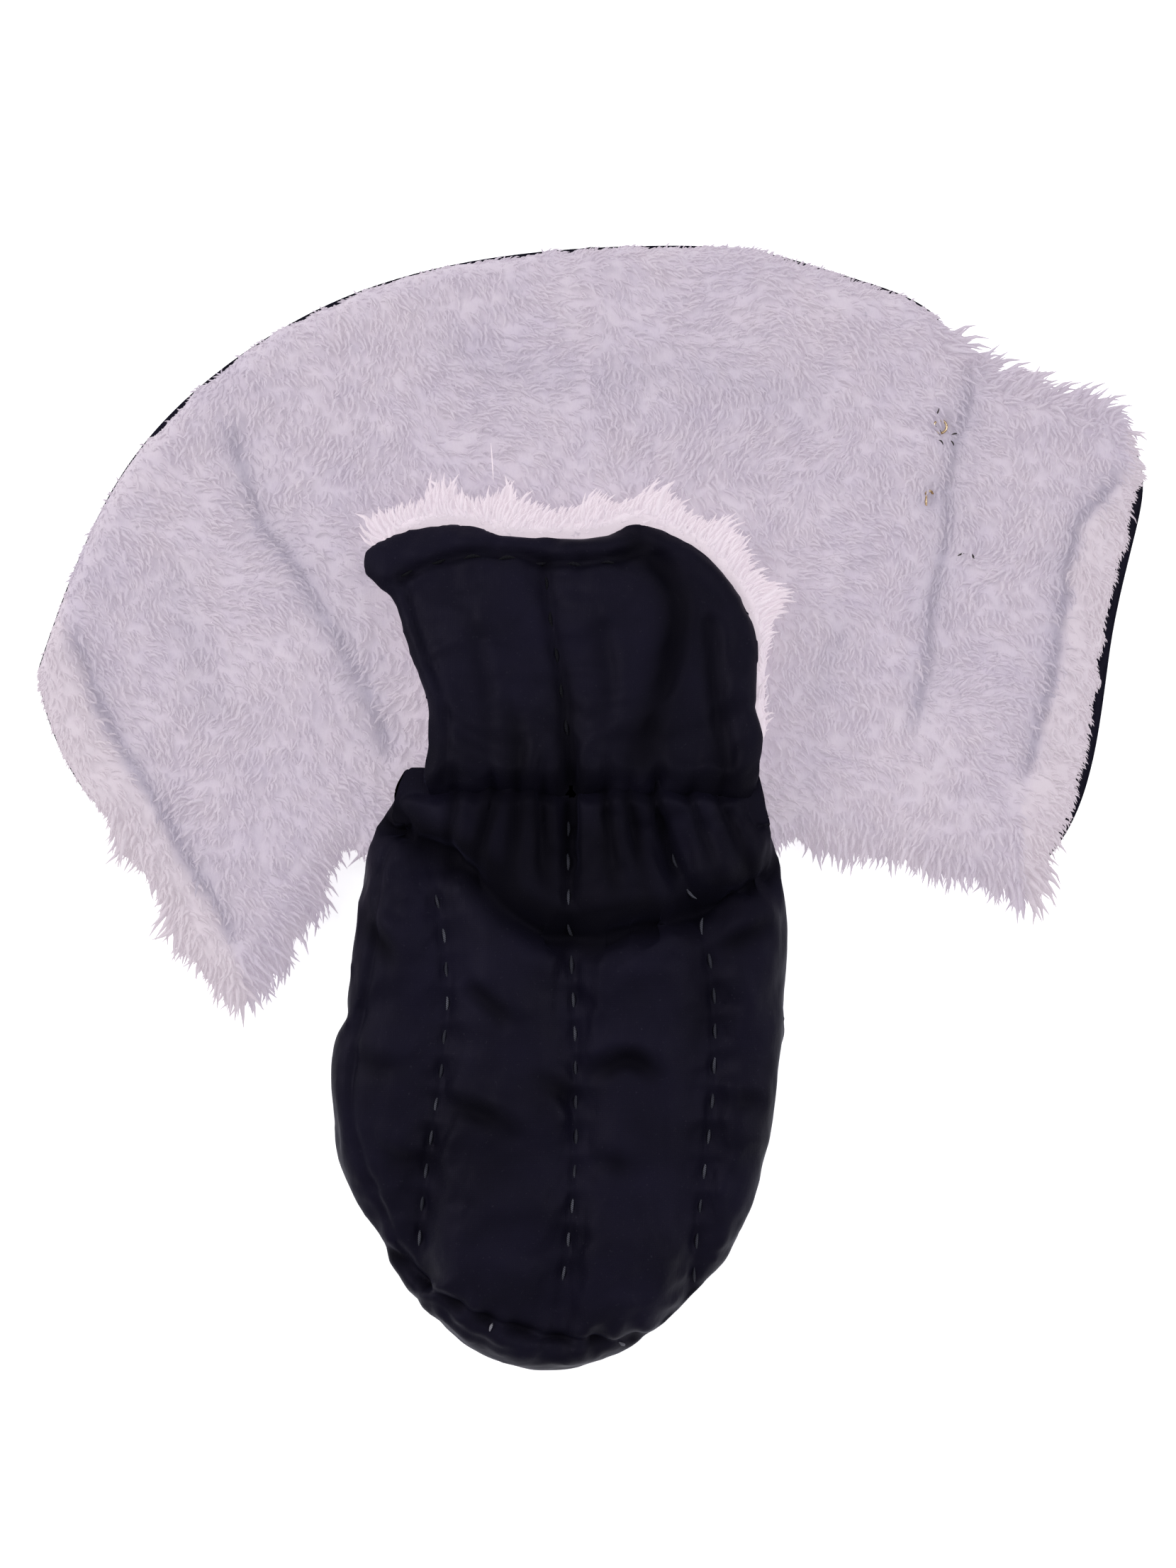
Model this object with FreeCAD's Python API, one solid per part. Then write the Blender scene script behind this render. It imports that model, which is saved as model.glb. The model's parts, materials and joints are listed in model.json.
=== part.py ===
import FreeCAD, Part
import math
import os

from FreeCAD import Vector

# Trapper hat laid out flat on its back, in millimetres. +Z is up, +Y runs from the crown through the
# gathered rim to the neck panel, and the origin is under the middle of the rim, on the table.
# The fleece side of the neck panel and ear flaps looks up, their shell lies on the table.

# Layers of the neck panel, the ear flaps and the brow flap
SHELL = 1.0  # woven outer fabric with its seam allowances
PAD = 3.0  # wadding of a flap
PILE = 12.0  # fleece, backing and pile together
BROW_PILE = 7.0  # the brow flap's fleece is pressed flatter by its own weight
PANEL_THICK = SHELL + PAD + PILE
BROW_THICK = SHELL + PAD + BROW_PILE

# Crown, a padded pouch that lies on its back
CROWN_PAD = 5.0
LINING = 3.0
CROWN_WALL = SHELL + CROWN_PAD + LINING
CROWN_HEIGHT = 44.0
CROWN_LENGTH = 210.5  # from the rim to the far end
CROWN_HALF_WIDTH = 80.0
CROWN_LEAN = -10.0  # the pouch sags this far to the left of the rim
RIM_HALF_WIDTH = 60.0
RIM_Y = 12.0

# Elastic in the front rim
ELASTIC_WIDTH = 8.0
ELASTIC_THICK = 1.2
CASING_WIDTH = 11.0
CASING_WALL = 0.8
ELASTIC_SLACK = 0.3  # between the elastic and its casing

# Neck panel and ear flaps, as they lie spread out
HALF_WIDTH = 197.5
TOP_Y = 198.5
FLAP_GAP = 0.6  # between two bodies at a fold, on the table
LEFT_EAR_WIDTH = 61.5  # from the widest point to the upper end of the fold
RIGHT_EAR_WIDTH = 60.5
FOLD_TOP_DROP = 46.0  # the folds' upper ends, below the top of the neck panel
LEFT_FOLD = (Vector(LEFT_EAR_WIDTH - HALF_WIDTH, TOP_Y - FOLD_TOP_DROP, 0), Vector(-104, -44, 0))
RIGHT_FOLD = (Vector(HALF_WIDTH - RIGHT_EAR_WIDTH, TOP_Y - FOLD_TOP_DROP, 0), Vector(117, -24, 0))
LEFT_TURN = 70.0  # how far each ear flap folds up
RIGHT_TURN = 80.0
FOLD_SPARE = 2.0  # degrees left open in the groove when a flap is folded right up
FLEECE_INSET = 3.0  # the shell shows this far outside the fleece
FACING_WIDTH = 18.0  # fleece turned over along the front edges of the ear flaps

# Brow flap
BROW_LENGTH = 86.0
BROW_LEFT = -79.0
BROW_RIGHT = 58.0
BROW_GAP = 0.4
BROW_OVERHANG = 8.0  # the fleece rolls out past the shell
REST_GAP = 0.5  # between the brow flap's fleece and the fleece it lies on

# Running stitches
STITCH_LENGTH = 6.5
STITCH_PITCH = 11.5
STITCH_WIDE = 0.9
STITCH_HIGH = 0.6

# Hook and ring near the right fold
RING_RADIUS = 2.3
WIRE_RADIUS = 0.45
THREAD_RADIUS = 0.25
THREAD_GAP = 0.1
RING_AT = Vector(124, 133, 0)
HOOK_AT = Vector(119, 107, 0)
PARTING_RADIUS = 4.5  # where the pile is parted round the metal
PARTING_FLOOR = 8.5

FAR = 600.0
UP = Vector(0, 0, 1)


def spline(points, closed=False):
    curve = Part.BSplineCurve()
    curve.interpolate([Vector(p) for p in points], PeriodicFlag=closed)
    return curve.toShape()


def slab(wire, low, high):
    """A flat layer with this outline."""
    face = Part.Face(wire)
    face.translate(Vector(0, 0, low))
    return face.extrude(Vector(0, 0, high - low))


def box(low, high):
    size = high - low
    return Part.makeBox(size.x, size.y, size.z, low)


def save(name, shape):
    solids = shape.Solids
    whole = solids[0] if len(solids) == 1 else Part.makeCompound(solids)
    if not solids or not whole.isValid():
        raise ValueError(f"{name} is not a sound solid")
    whole.exportStep(f"parts/{name}.step")
    b = whole.optimalBoundingBox(False)
    print(f"{name:26s} {len(solids):3d} solid(s) {whole.Volume / 1000:8.2f} cm3"
          f"  x {b.XMin:7.1f} {b.XMax:7.1f}  y {b.YMin:7.1f} {b.YMax:7.1f}  z {b.ZMin:5.1f} {b.ZMax:5.1f}")
    return whole


# ---- the crown -----------------------------------------------------------------------------------

def crown_outline(inset):
    """The pouch seen from above: narrow at the rim, then full, then a blunt round end."""
    end = RIM_Y - CROWN_LENGTH
    wide, narrow, mid = CROWN_HALF_WIDTH, RIM_HALF_WIDTH, CROWN_LEAN
    loop = [
        (-narrow, 45), (-narrow, RIM_Y), (-narrow - 14, -6), (mid - wide + 6, -55),
        (mid - wide, end + 88), (mid - wide + 12, end + 50), (mid - 48, end + 18), (mid - 6, end),
        (mid + 38, end + 16), (mid + wide - 13, end + 52), (mid + wide - 2, end + 100),
        (mid + wide, -48), (narrow + 6, -14), (narrow, RIM_Y), (narrow, 45),
    ]
    moved = []
    for (x0, y0), (x, y), (x1, y1) in zip(loop[-1:] + loop[:-1], loop, loop[1:] + loop[:1]):
        along = Vector(x1 - x0, y1 - y0, 0).normalize()
        moved.append((x - along.y * inset, y + along.x * inset, 0))
    return moved


def pillow(inset):
    """The pouch's solid with rounded edges, drawn in by the thickness of the layers outside it."""
    wire = Part.Wire(spline(crown_outline(inset), closed=True))
    whole = slab(wire, inset, CROWN_HEIGHT - inset)
    rims = [edge for edge in whole.Edges if edge.BoundBox.ZLength < 1]
    return whole.makeFillet(CROWN_WALL - inset + 0.5, rims)


def crown_parts():
    """Shell, wadding and lining, each cut into a back, a side band and a front."""
    behind_rim = box(Vector(-FAR, -FAR, -1), Vector(FAR, RIM_Y, FAR))
    bands = {
        "back": (-1, CROWN_WALL),
        "side": (CROWN_WALL, CROWN_HEIGHT - CROWN_WALL),
        "front": (CROWN_HEIGHT - CROWN_WALL, FAR),
    }
    skins = [pillow(d).common(behind_rim) for d in (0, SHELL, SHELL + CROWN_PAD, CROWN_WALL)]
    layers = {}
    for name, outer, inner in zip(("shell", "wadding", "lining"), skins, skins[1:]):
        layer = outer.cut(inner)
        for band, (low, high) in bands.items():
            cut = box(Vector(-FAR, -FAR, low), Vector(FAR, FAR, high))
            layers[f"crown_{band}_{name}"] = layer.common(cut)
    return layers


def casing_and_elastic():
    """The tunnel takes the wadding's place along the front rim, and the elastic runs in it."""
    half = RIM_HALF_WIDTH - CROWN_WALL - 3
    top = CROWN_HEIGHT - SHELL
    low = Vector(-half, RIM_Y - CASING_WIDTH, top - CROWN_PAD)
    high = Vector(half, RIM_Y, top)
    tunnel = box(low, high)
    middle = Vector(0, RIM_Y - CASING_WIDTH / 2, top - CROWN_PAD / 2)
    reach = Vector(half - CASING_WALL, ELASTIC_WIDTH / 2, ELASTIC_THICK / 2)
    elastic = box(middle - reach, middle + reach)
    slack = Vector(ELASTIC_SLACK, ELASTIC_SLACK, ELASTIC_SLACK)
    hollow = box(middle - reach - slack, middle + reach + slack)
    return tunnel, tunnel.cut(hollow), elastic


# ---- neck panel and ear flaps --------------------------------------------------------------------

def fan_outline(inset):
    """The neck panel and both ear flaps in one outline, passing under the crown."""
    w, t = HALF_WIDTH - inset, TOP_Y - inset
    a, b = LEFT_FOLD[0].x, RIGHT_FOLD[0].x
    top = [(-w, t - 152), (-w + 13, t - 116), (-w + 34, t - 76), (a + 7, t - 42), (a * 0.6, t - 16),
           (a * 0.15, t - 2.5), (b * 0.18, t), (b * 0.45, t - 2.5), (b * 0.67, t - 11),
           (b - 11, t - 27), (b - 3, t - 42)]
    right = [(b + 1, t - 39), (b + 28, t - 51), (w - 8, t - 62), (w, t - 80), (w - 3, t - 103),
             (w - 11, t - 138), (w - 17, 20), (w - 28, -14), (w - 44, -36 + inset)]
    bottom_right = [(w - 44, -36 + inset), (w - 64, -27 + inset), (104, -20 + inset), (73, -14 + inset)]
    bottom_left = [(-76, -14 + inset), (-88, -19 + inset), (-98 - inset, -36), (-110 - inset, -53),
                   (-123, -73 + inset)]
    left = [(-123, -73 + inset), (-w + 55, -57), (-w + 40, -30), (-w + 17, 3), (-w, t - 152)]
    edges, last = [], None
    for run in (top, right, bottom_right, bottom_left, left):
        points = [Vector(x, y, 0) for x, y in run]
        if last and last.distanceToPoint(points[0]) > 1e-6:
            edges.append(Part.makeLine(last, points[0]))
        edges.append(spline(points))
        last = points[-1]
    return Part.Wire(edges)


def beside_fold(fold, side, turn):
    """All the space on one side (1 left of the line, -1 right) of a fold line, sloped back upwards."""
    start, end = fold
    along = (end - start).normalize()
    across = Vector(-along.y, along.x, 0) * side
    slope = math.tan(math.radians((turn + FOLD_SPARE) / 2))
    high = PANEL_THICK + 5
    profile = [(FLAP_GAP / 2, -1), (FLAP_GAP / 2, 0), (FLAP_GAP / 2 + high * slope, high),
               (FAR, high), (FAR, -1)]
    points = [start - along * FAR + across * d + UP * z for d, z in profile]
    return Part.Face(Part.makePolygon(points + points[:1])).extrude(along * 2 * FAR)


def facing_strip(line):
    """The strip outside a crease that runs beside an ear flap's front edge."""
    out = -1 if line[0][0] < 0 else 1
    beyond = [(out * FAR, line[-1][1]), (out * FAR, line[0][1])]
    points = [Vector(x, y, 0) for x, y in line + beyond]
    return slab(Part.makePolygon(points + points[:1]), SHELL + PAD, PANEL_THICK)


def panel_parts():
    """Three layers, each cut at the two folds; under the crown they stop at its edge."""
    outline = [(x, y, 0) for x, y, _ in crown_outline(-REST_GAP)]
    pouch = slab(Part.Wire(spline(outline, closed=True)), -1, CROWN_HEIGHT)
    pouch = pouch.common(box(Vector(-FAR, -FAR, -1), Vector(FAR, RIM_Y, FAR)))
    heights = {
        "shell": (0, 0, SHELL),
        "wadding": (FLEECE_INSET, SHELL, SHELL + PAD),
        "fleece": (FLEECE_INSET, SHELL + PAD, PANEL_THICK),
    }
    left_of = beside_fold(LEFT_FOLD, -1, LEFT_TURN)
    right_of = beside_fold(RIGHT_FOLD, 1, RIGHT_TURN)
    between = beside_fold(LEFT_FOLD, 1, LEFT_TURN).common(beside_fold(RIGHT_FOLD, -1, RIGHT_TURN))
    made = {}
    for layer, (inset, low, high) in heights.items():
        whole = slab(fan_outline(inset), low, high).cut(pouch)
        made[f"left_ear_{layer}"] = whole.common(left_of)
        made[f"neck_{layer}"] = whole.common(between)
        made[f"right_ear_{layer}"] = whole.common(right_of)
    w = HALF_WIDTH - FACING_WIDTH
    left_line = [(-w, 80), (-w + 6, 35), (-w + 28, -3), (-w + 55, -75)]
    right_line = [(w + 4, 125), (w - 9, 97), (w - 15, 54), (w - 24, 10), (w - 40, -45)]
    for side, line in (("left", left_line), ("right", right_line)):
        fleece = made[f"{side}_ear_fleece"]
        strip = facing_strip(line)
        made[f"{side}_ear_facing"] = fleece.common(strip)
        made[f"{side}_ear_fleece"] = fleece.cut(strip)
    return made


# ---- brow flap -----------------------------------------------------------------------------------

def brow_place(shape):
    """From flat, with its top at z 0 and its edge on y 0, to sloping down from the front rim."""
    drop = CROWN_HEIGHT - (PANEL_THICK + REST_GAP + BROW_THICK)
    tilt = math.degrees(math.asin(drop / (BROW_LENGTH + BROW_OVERHANG + 3)))
    shape.rotate(Vector(0, 0, 0), Vector(1, 0, 0), -tilt)
    shape.translate(Vector(0, RIM_Y + BROW_GAP, CROWN_HEIGHT))
    before_rim = box(Vector(-FAR, RIM_Y + BROW_GAP, -1), Vector(FAR, FAR, FAR))
    return shape.common(before_rim)


def brow_outline(grow):
    """Narrow at the rim, widening to a square corner at the left and a round one at the right."""
    left, right, far = BROW_LEFT - grow / 4, BROW_RIGHT + grow * 0.7, BROW_LENGTH + grow
    foot = RIM_HALF_WIDTH - 3
    end = spline([(left, far - 5 - grow, 0), (left + 25, far, 0), (left + 60, far - 5, 0),
                  (right - 40, far, 0), (right - 22, far - 9, 0), (right, far - 35, 0)])
    side = Part.makeLine(Vector(right, far - 35, 0), Vector(foot, 0, 0))
    rim = Part.makeLine(Vector(foot, 0, 0), Vector(-foot, 0, 0))
    back = spline([(-foot, 0, 0), (-foot - 4, 40, 0), (left + 8, far - 28, 0), (left, far - 5 - grow, 0)])
    return Part.Wire([end, side, rim, back])


def brow_parts():
    shell = slab(brow_outline(0), -SHELL, 0)
    wadding = slab(brow_outline(-2), -SHELL - PAD, -SHELL)
    fleece = slab(brow_outline(BROW_OVERHANG), -BROW_THICK, -SHELL - PAD)
    return {"brow_shell": shell, "brow_wadding": wadding, "brow_fleece": fleece}


# ---- stitches ------------------------------------------------------------------------------------

def stitch(at, towards, high):
    """One flat stitch on a surface, with round ends."""
    along = (towards - at).normalize()
    half = (STITCH_LENGTH - STITCH_WIDE) / 2
    angle = math.degrees(math.atan2(along.y, along.x))
    bar = Part.makeBox(2 * half, STITCH_WIDE, STITCH_HIGH, Vector(-half, -STITCH_WIDE / 2, 0))
    for x in (-half, half):
        bar = bar.fuse(Part.makeCylinder(STITCH_WIDE / 2, STITCH_HIGH, Vector(x, 0, 0)))
    bar = bar.removeSplitter()
    bar.rotate(Vector(0, 0, 0), UP, angle)
    bar.translate(Vector(at.x, at.y, high))
    return bar


def stitch_row(points, high):
    """Stitches at an even pitch along a curve through these points."""
    path = spline([(x, y, 0) for x, y in points])
    count = int(path.Length / STITCH_PITCH)
    spots = path.discretize(count * 2 + 1)
    pairs = zip(spots[0:-1:2], spots[1::2])
    return Part.makeCompound([stitch((a + b) / 2, b, high) for a, b in pairs])


# ---- hook and ring -------------------------------------------------------------------------------

def metal_parts():
    """A ring and a bent wire lying where the pile is parted, each held down by a loop of thread."""
    ring = Part.makeTorus(RING_RADIUS, WIRE_RADIUS, RING_AT + UP * (PARTING_FLOOR + WIRE_RADIUS))
    foot = HOOK_AT + UP * (PARTING_FLOOR + WIRE_RADIUS)
    leg = Part.makeCylinder(WIRE_RADIUS, 4.0, foot + Vector(0, -2, 0), Vector(0, 1, 0))
    bend = Part.makeTorus(1.2, WIRE_RADIUS, Vector(0, 0, 0), UP, -180, 180, 180)
    bend.translate(foot + Vector(1.2, 2, 0))
    hook = leg.fuse(bend).removeSplitter()
    above_floor = box(Vector(-FAR, -FAR, PARTING_FLOOR), Vector(FAR, FAR, FAR))
    threads = []
    for at in (RING_AT + Vector(-RING_RADIUS, 0, 0), RING_AT + Vector(0, -RING_RADIUS, 0)):
        reach = WIRE_RADIUS + THREAD_RADIUS + THREAD_GAP
        loop = Part.makeTorus(reach, THREAD_RADIUS, Vector(0, 0, 0), Vector(0, 1, 0))
        if at.x == RING_AT.x:
            loop.rotate(Vector(0, 0, 0), UP, 90)
        loop.translate(at + UP * (PARTING_FLOOR + WIRE_RADIUS))
        threads.append(loop.common(above_floor))
    return ring, hook, Part.makeCompound(threads)


def part_the_pile(fleece):
    for at in (RING_AT, HOOK_AT):
        pit = Part.makeCylinder(PARTING_RADIUS, FAR, at + UP * PARTING_FLOOR)
        fleece = fleece.cut(pit)
    return fleece


# ---- everything ----------------------------------------------------------------------------------

os.makedirs("parts", exist_ok=True)

crown = crown_parts()
tunnel, casing, elastic = casing_and_elastic()
crown["crown_front_wadding"] = crown["crown_front_wadding"].cut(tunnel)
panel = panel_parts()
panel["neck_fleece"] = part_the_pile(panel["neck_fleece"])
brow = brow_parts()
ring, hook, threads = metal_parts()

for name, shape in {**crown, **panel}.items():
    save(name, shape)
for name, shape in brow.items():
    save(name, brow_place(shape))
save("rim_casing", casing)
save("rim_elastic", elastic)
save("hook_ring", ring)
save("hook_wire", hook)
save("hook_threads", threads)

end = RIM_Y - CROWN_LENGTH
lean = CROWN_LEAN
rows = {
    "left": [(-54, -32), (-50, -72), (-56, -120), (-60, end + 38)],
    "centre": [(-8, -6), (-6, -70), (-5, -110), (-11, end + 26)],
    "right": [(28, -18), (42, -58), (41, -118), (36, end + 24)],
}
for name, points in rows.items():
    save(f"quilting_{name}", stitch_row(points, CROWN_HEIGHT))
hem = [(BROW_LEFT + 12, BROW_LENGTH - 19), (BROW_LEFT + 40, BROW_LENGTH - 12),
       (-16, BROW_LENGTH - 14), (BROW_RIGHT - 43, BROW_LENGTH - 12)]
save("brow_hem_stitches", brow_place(stitch_row(hem, 0)))
centre = [(-16, BROW_LENGTH - 18), (-12, 40), (-7, 4)]
save("brow_centre_stitches", brow_place(stitch_row(centre, 0)))
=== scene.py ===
# %% [markdown]
# # A trapper hat, laid out flat
# The hat lies on its back with the crown towards us, its brow flap turned up over the neck panel, and the
# fleece side of the neck panel and ear flaps facing up. Each piece is built round the fixed frame, in metres.

# %% Load the frame
import json
import math

import bmesh
import bpy
import numpy as np
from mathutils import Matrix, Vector
from mathutils.bvhtree import BVHTree


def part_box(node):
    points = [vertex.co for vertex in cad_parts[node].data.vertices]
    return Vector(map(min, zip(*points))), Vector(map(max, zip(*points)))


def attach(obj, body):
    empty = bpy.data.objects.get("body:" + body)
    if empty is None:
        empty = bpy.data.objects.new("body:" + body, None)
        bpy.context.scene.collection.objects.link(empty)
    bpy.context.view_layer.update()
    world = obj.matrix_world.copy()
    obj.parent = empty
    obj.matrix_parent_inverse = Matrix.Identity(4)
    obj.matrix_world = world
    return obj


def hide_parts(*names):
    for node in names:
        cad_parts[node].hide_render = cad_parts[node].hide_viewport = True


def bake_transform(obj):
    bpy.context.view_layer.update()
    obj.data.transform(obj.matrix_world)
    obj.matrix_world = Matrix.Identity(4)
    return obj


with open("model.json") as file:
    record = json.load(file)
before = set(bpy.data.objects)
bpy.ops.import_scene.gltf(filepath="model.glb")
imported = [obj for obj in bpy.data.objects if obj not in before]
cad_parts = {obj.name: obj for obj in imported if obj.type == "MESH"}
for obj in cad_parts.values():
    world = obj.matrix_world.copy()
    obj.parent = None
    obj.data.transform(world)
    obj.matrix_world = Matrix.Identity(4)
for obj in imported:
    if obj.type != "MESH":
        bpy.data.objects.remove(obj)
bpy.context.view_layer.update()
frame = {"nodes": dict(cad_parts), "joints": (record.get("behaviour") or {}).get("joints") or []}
MM = 0.001

# %% [markdown]
# Everything hangs on a few heights and places that the frame holds: how thick the panel lies, how high the
# crown is, and where the rim and the folds run. Reading them keeps the looks in step with the design.

# %% Heights and places from the frame
crown_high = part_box("crown_front_shell")[1]
brow_low, brow_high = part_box("brow_shell")
RIM_Y = crown_high.y
CROWN_TOP = crown_high.z
PANEL_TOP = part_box("neck_fleece")[1].z
joints = {j["name"]: j for j in frame["joints"]}
print("rim at y", round(RIM_Y, 4), "crown top", round(CROWN_TOP, 4), "panel top", round(PANEL_TOP, 4))

# %% [markdown]
# Cloth is never even, so most shapes here add some noise. This is value noise worked out for a whole array
# of points at once: random numbers at the corners of a grid, with smooth blending between them.

# %% Noise and soft steps
SCATTER = (374761393, 668265263, 1442695041, 974634777)  # large odd numbers that mix a corner's place and seed


def corner_value(cell, seed):
    mixed = cell @ np.array(SCATTER[:3]) + seed * SCATTER[3]
    mixed = mixed & 0xFFFFFFFF
    mixed = ((mixed ^ (mixed >> 13)) * 1274126177) & 0xFFFFFFFF
    return ((mixed ^ (mixed >> 16)) & 0xFFFF) / 32767.5 - 1


def noise(points, size, seed=0):
    """Smooth noise from -1 to 1, with lumps about as big as size."""
    scaled = points / size
    cell = np.floor(scaled).astype(np.int64)
    share = scaled - cell
    share = share * share * (3 - 2 * share)
    total = np.zeros(len(points))
    for corner in np.ndindex(2, 2, 2):
        weight = np.prod(np.where(corner, share, 1 - share), axis=1)
        total += weight * corner_value(cell + corner, seed)
    return total


def soft(low, high, value):
    t = np.clip((value - low) / (high - low), 0, 1)
    return t * t * (3 - 2 * t)


def bump_at(distance, width):
    return np.exp(-((distance / width) ** 2))


# %% [markdown]
# Outlines come from the frame too. The triangles of a flat node that look down make one face, and the edges
# that only one of them uses, walked in order, are its outline.

# %% Outlines and distances
SAME_PLACE = 1e-6
FAR_OFF = 1e9
NEARLY_FLAT = 0.95


def outline_of(node, facing=-1):
    """The closed outline of the faces of a node that look down (facing -1) or up (facing 1), as x and y."""
    shape = bmesh.new()
    shape.from_mesh(frame["nodes"][node].data)
    bmesh.ops.remove_doubles(shape, verts=shape.verts, dist=SAME_PLACE)
    shape.normal_update()
    flat = {f for f in shape.faces if f.normal.z * facing > NEARLY_FLAT}
    follow = {}
    for face in flat:
        for loop in face.loops:
            if sum(other in flat for other in loop.edge.link_faces) == 1:
                follow[loop.vert.index] = loop.link_loop_next.vert.index
    places = {v.index: (v.co.x, v.co.y) for v in shape.verts}
    shape.free()
    loops = []
    while follow:
        start, at = next(iter(follow.items()))
        del follow[start]
        loop = [start]
        while at in follow:
            loop.append(at)
            at = follow.pop(at)
        loops.append(loop)
    longest = max(loops, key=len)
    return np.array([places[i] for i in longest])


def resampled(loop, step):
    """The same closed line with points at an even step."""
    closed = np.vstack([loop, loop[:1]])
    run = np.concatenate([[0], np.cumsum(np.linalg.norm(np.diff(closed, axis=0), axis=1))])
    spots = np.linspace(0, run[-1], max(8, int(run[-1] / step)), endpoint=False)
    return np.column_stack([np.interp(spots, run, closed[:, k]) for k in (0, 1)])


def line_distance(points, line, closed=False):
    """How far each point is from a line, the nearest place on it, and how far along it that is."""
    if closed:
        line = np.vstack([line, line[:1]])
    best = np.full(len(points), FAR_OFF)
    nearest = np.zeros((len(points), 2))
    along = np.zeros(len(points))
    run = 0.0
    for a, b in zip(line[:-1], line[1:]):
        step = b - a
        length = np.linalg.norm(step)
        t = np.clip((points - a) @ step / max(length**2, 1e-18), 0, 1)
        foot = a + t[:, None] * step
        gap = np.linalg.norm(points - foot, axis=1)
        closer = gap < best
        best[closer] = gap[closer]
        nearest[closer] = foot[closer]
        along[closer] = run + t[closer] * length
        run += length
    return best, nearest, along


def inside(points, loop):
    """Which points lie inside a closed outline."""
    count = np.zeros(len(points), int)
    for (x0, y0), (x1, y1) in zip(loop, np.roll(loop, -1, axis=0)):
        spans = (y0 > points[:, 1]) != (y1 > points[:, 1])
        cross = x0 + (points[:, 1] - y0) * (x1 - x0) / (y1 - y0 if y1 != y0 else 1)
        count += spans & (points[:, 0] < cross)
    return count % 2 == 1


def smooth_line(points, step=2 * MM):
    """A smooth curve through a few points, as many short steps."""
    p = np.array(points, float)
    p = np.vstack([2 * p[0] - p[1], p, 2 * p[-1] - p[-2]])
    made = []
    for a, b, c, d in zip(p[:-3], p[1:-2], p[2:-1], p[3:]):
        t = np.linspace(0, 1, max(2, int(np.linalg.norm(c - b) / step)), endpoint=False)[:, None]
        made.append(0.5 * (2 * b + (c - a) * t + (2 * a - 5 * b + 4 * c - d) * t**2
                           + (3 * b - 3 * c + d - a) * t**3))
    return np.vstack([*made, p[-2:-1]])


def curve_mm(points, step=2 * MM):
    """A smooth curve through points given in millimetres."""
    return smooth_line(np.array(points, float) * MM, step)


def flat_points(grid):
    """Points on the table, with a height of nothing, for noise that follows x and y only."""
    return np.column_stack([grid, np.zeros(len(grid))])


def lumps(points, *layers):
    """A sum of noise layers, each given as height, lump size in millimetres, seed and stretch."""
    return sum(height * noise(points * stretch, size * MM, seed) for height, size, seed, stretch in layers)


def rounded(gap, width):
    """0 at an edge and 1 from the given width inwards, along a quarter circle."""
    return np.sqrt(np.clip(1 - (1 - np.clip(gap / width, 0, 1)) ** 2, 0, 1))


EVEN = (1, 1, 1)


# %% [markdown]
# A mesh piece is a list of points and a list of faces. This helper makes one, smooth-shaded and facing out.

# %% Making meshes


def new_piece(name, points, faces, outward=True):
    mesh = bpy.data.meshes.new(name)
    mesh.from_pydata([tuple(p) for p in points], [], [tuple(f) for f in faces])
    if outward:
        shape = bmesh.new()
        shape.from_mesh(mesh)
        bmesh.ops.recalc_face_normals(shape, faces=shape.faces)
        shape.to_mesh(mesh)
        shape.free()
    mesh.shade_smooth()
    piece = bpy.data.objects.new(name, mesh)
    bpy.context.scene.collection.objects.link(piece)
    return piece


def places_of(piece):
    places = np.empty(len(piece.data.vertices) * 3)
    piece.data.vertices.foreach_get("co", places)
    return places.reshape(-1, 3)


def put_places(piece, places):
    piece.data.vertices.foreach_set("co", places.astype(np.float32).ravel())
    piece.data.update()


def normals_of(piece):
    found = np.empty(len(piece.data.vertices) * 3)
    piece.data.vertex_normals.foreach_get("vector", found)
    return found.reshape(-1, 3)


def bake(piece):
    """Applies a piece's modifiers, so that what is left is a plain mesh."""
    ready = piece.evaluated_get(bpy.context.evaluated_depsgraph_get())
    mesh = bpy.data.meshes.new_from_object(ready)
    mesh.name = piece.name
    piece.modifiers.clear()
    piece.data = mesh
    mesh.shade_smooth()
    return piece


def refine(piece, levels):
    cut = piece.modifiers.new("Subdivision", "SUBSURF")
    cut.levels = levels
    cut.render_levels = levels
    return bake(piece)


def put_attribute(piece, name, values):
    layer = piece.data.attributes.new(name, "FLOAT_VECTOR" if np.ndim(values) == 2 else "FLOAT", "POINT")
    layer.data.foreach_set("vector" if np.ndim(values) == 2 else "value", np.ravel(values).astype(np.float32))


def attribute_of(piece, name):
    values = np.empty(len(piece.data.vertices))
    piece.data.attributes[name].data.foreach_get("value", values)
    return values


def change_attribute(piece, name, values):
    piece.data.attributes[name].data.foreach_set("value", values.astype(np.float32))


def put_even(piece, **values):
    """Attributes that are the same all over a piece."""
    for name, value in values.items():
        put_attribute(piece, name, np.full(len(piece.data.vertices), float(value)))


# %% [markdown]
# ## Shader maths as Python
# Wrapping a socket in a small class lets the material code read like arithmetic. Each operator adds one
# Math node. Any other node is made by one method, which sets its settings first and then its inputs.

# %% Sockets and nodes


class Value:
    def __init__(self, tree, socket):
        self.tree = tree
        self.socket = socket

    def maths(self, operation, *others):
        return self.tree.add("ShaderNodeMath", {"operation": operation}, {
            k: v for k, v in enumerate((self, *others))})

    def __add__(self, other):
        return self.maths("ADD", other)

    def __radd__(self, other):
        return self.maths("ADD", other)

    def __sub__(self, other):
        return self.maths("SUBTRACT", other)

    def __rsub__(self, other):
        return self.tree.add("ShaderNodeMath", {"operation": "SUBTRACT"}, {0: other, 1: self})

    def __mul__(self, other):
        return self.maths("MULTIPLY", other)

    def __rmul__(self, other):
        return self.maths("MULTIPLY", other)

    def __pow__(self, other):
        return self.maths("POWER", other)


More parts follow.
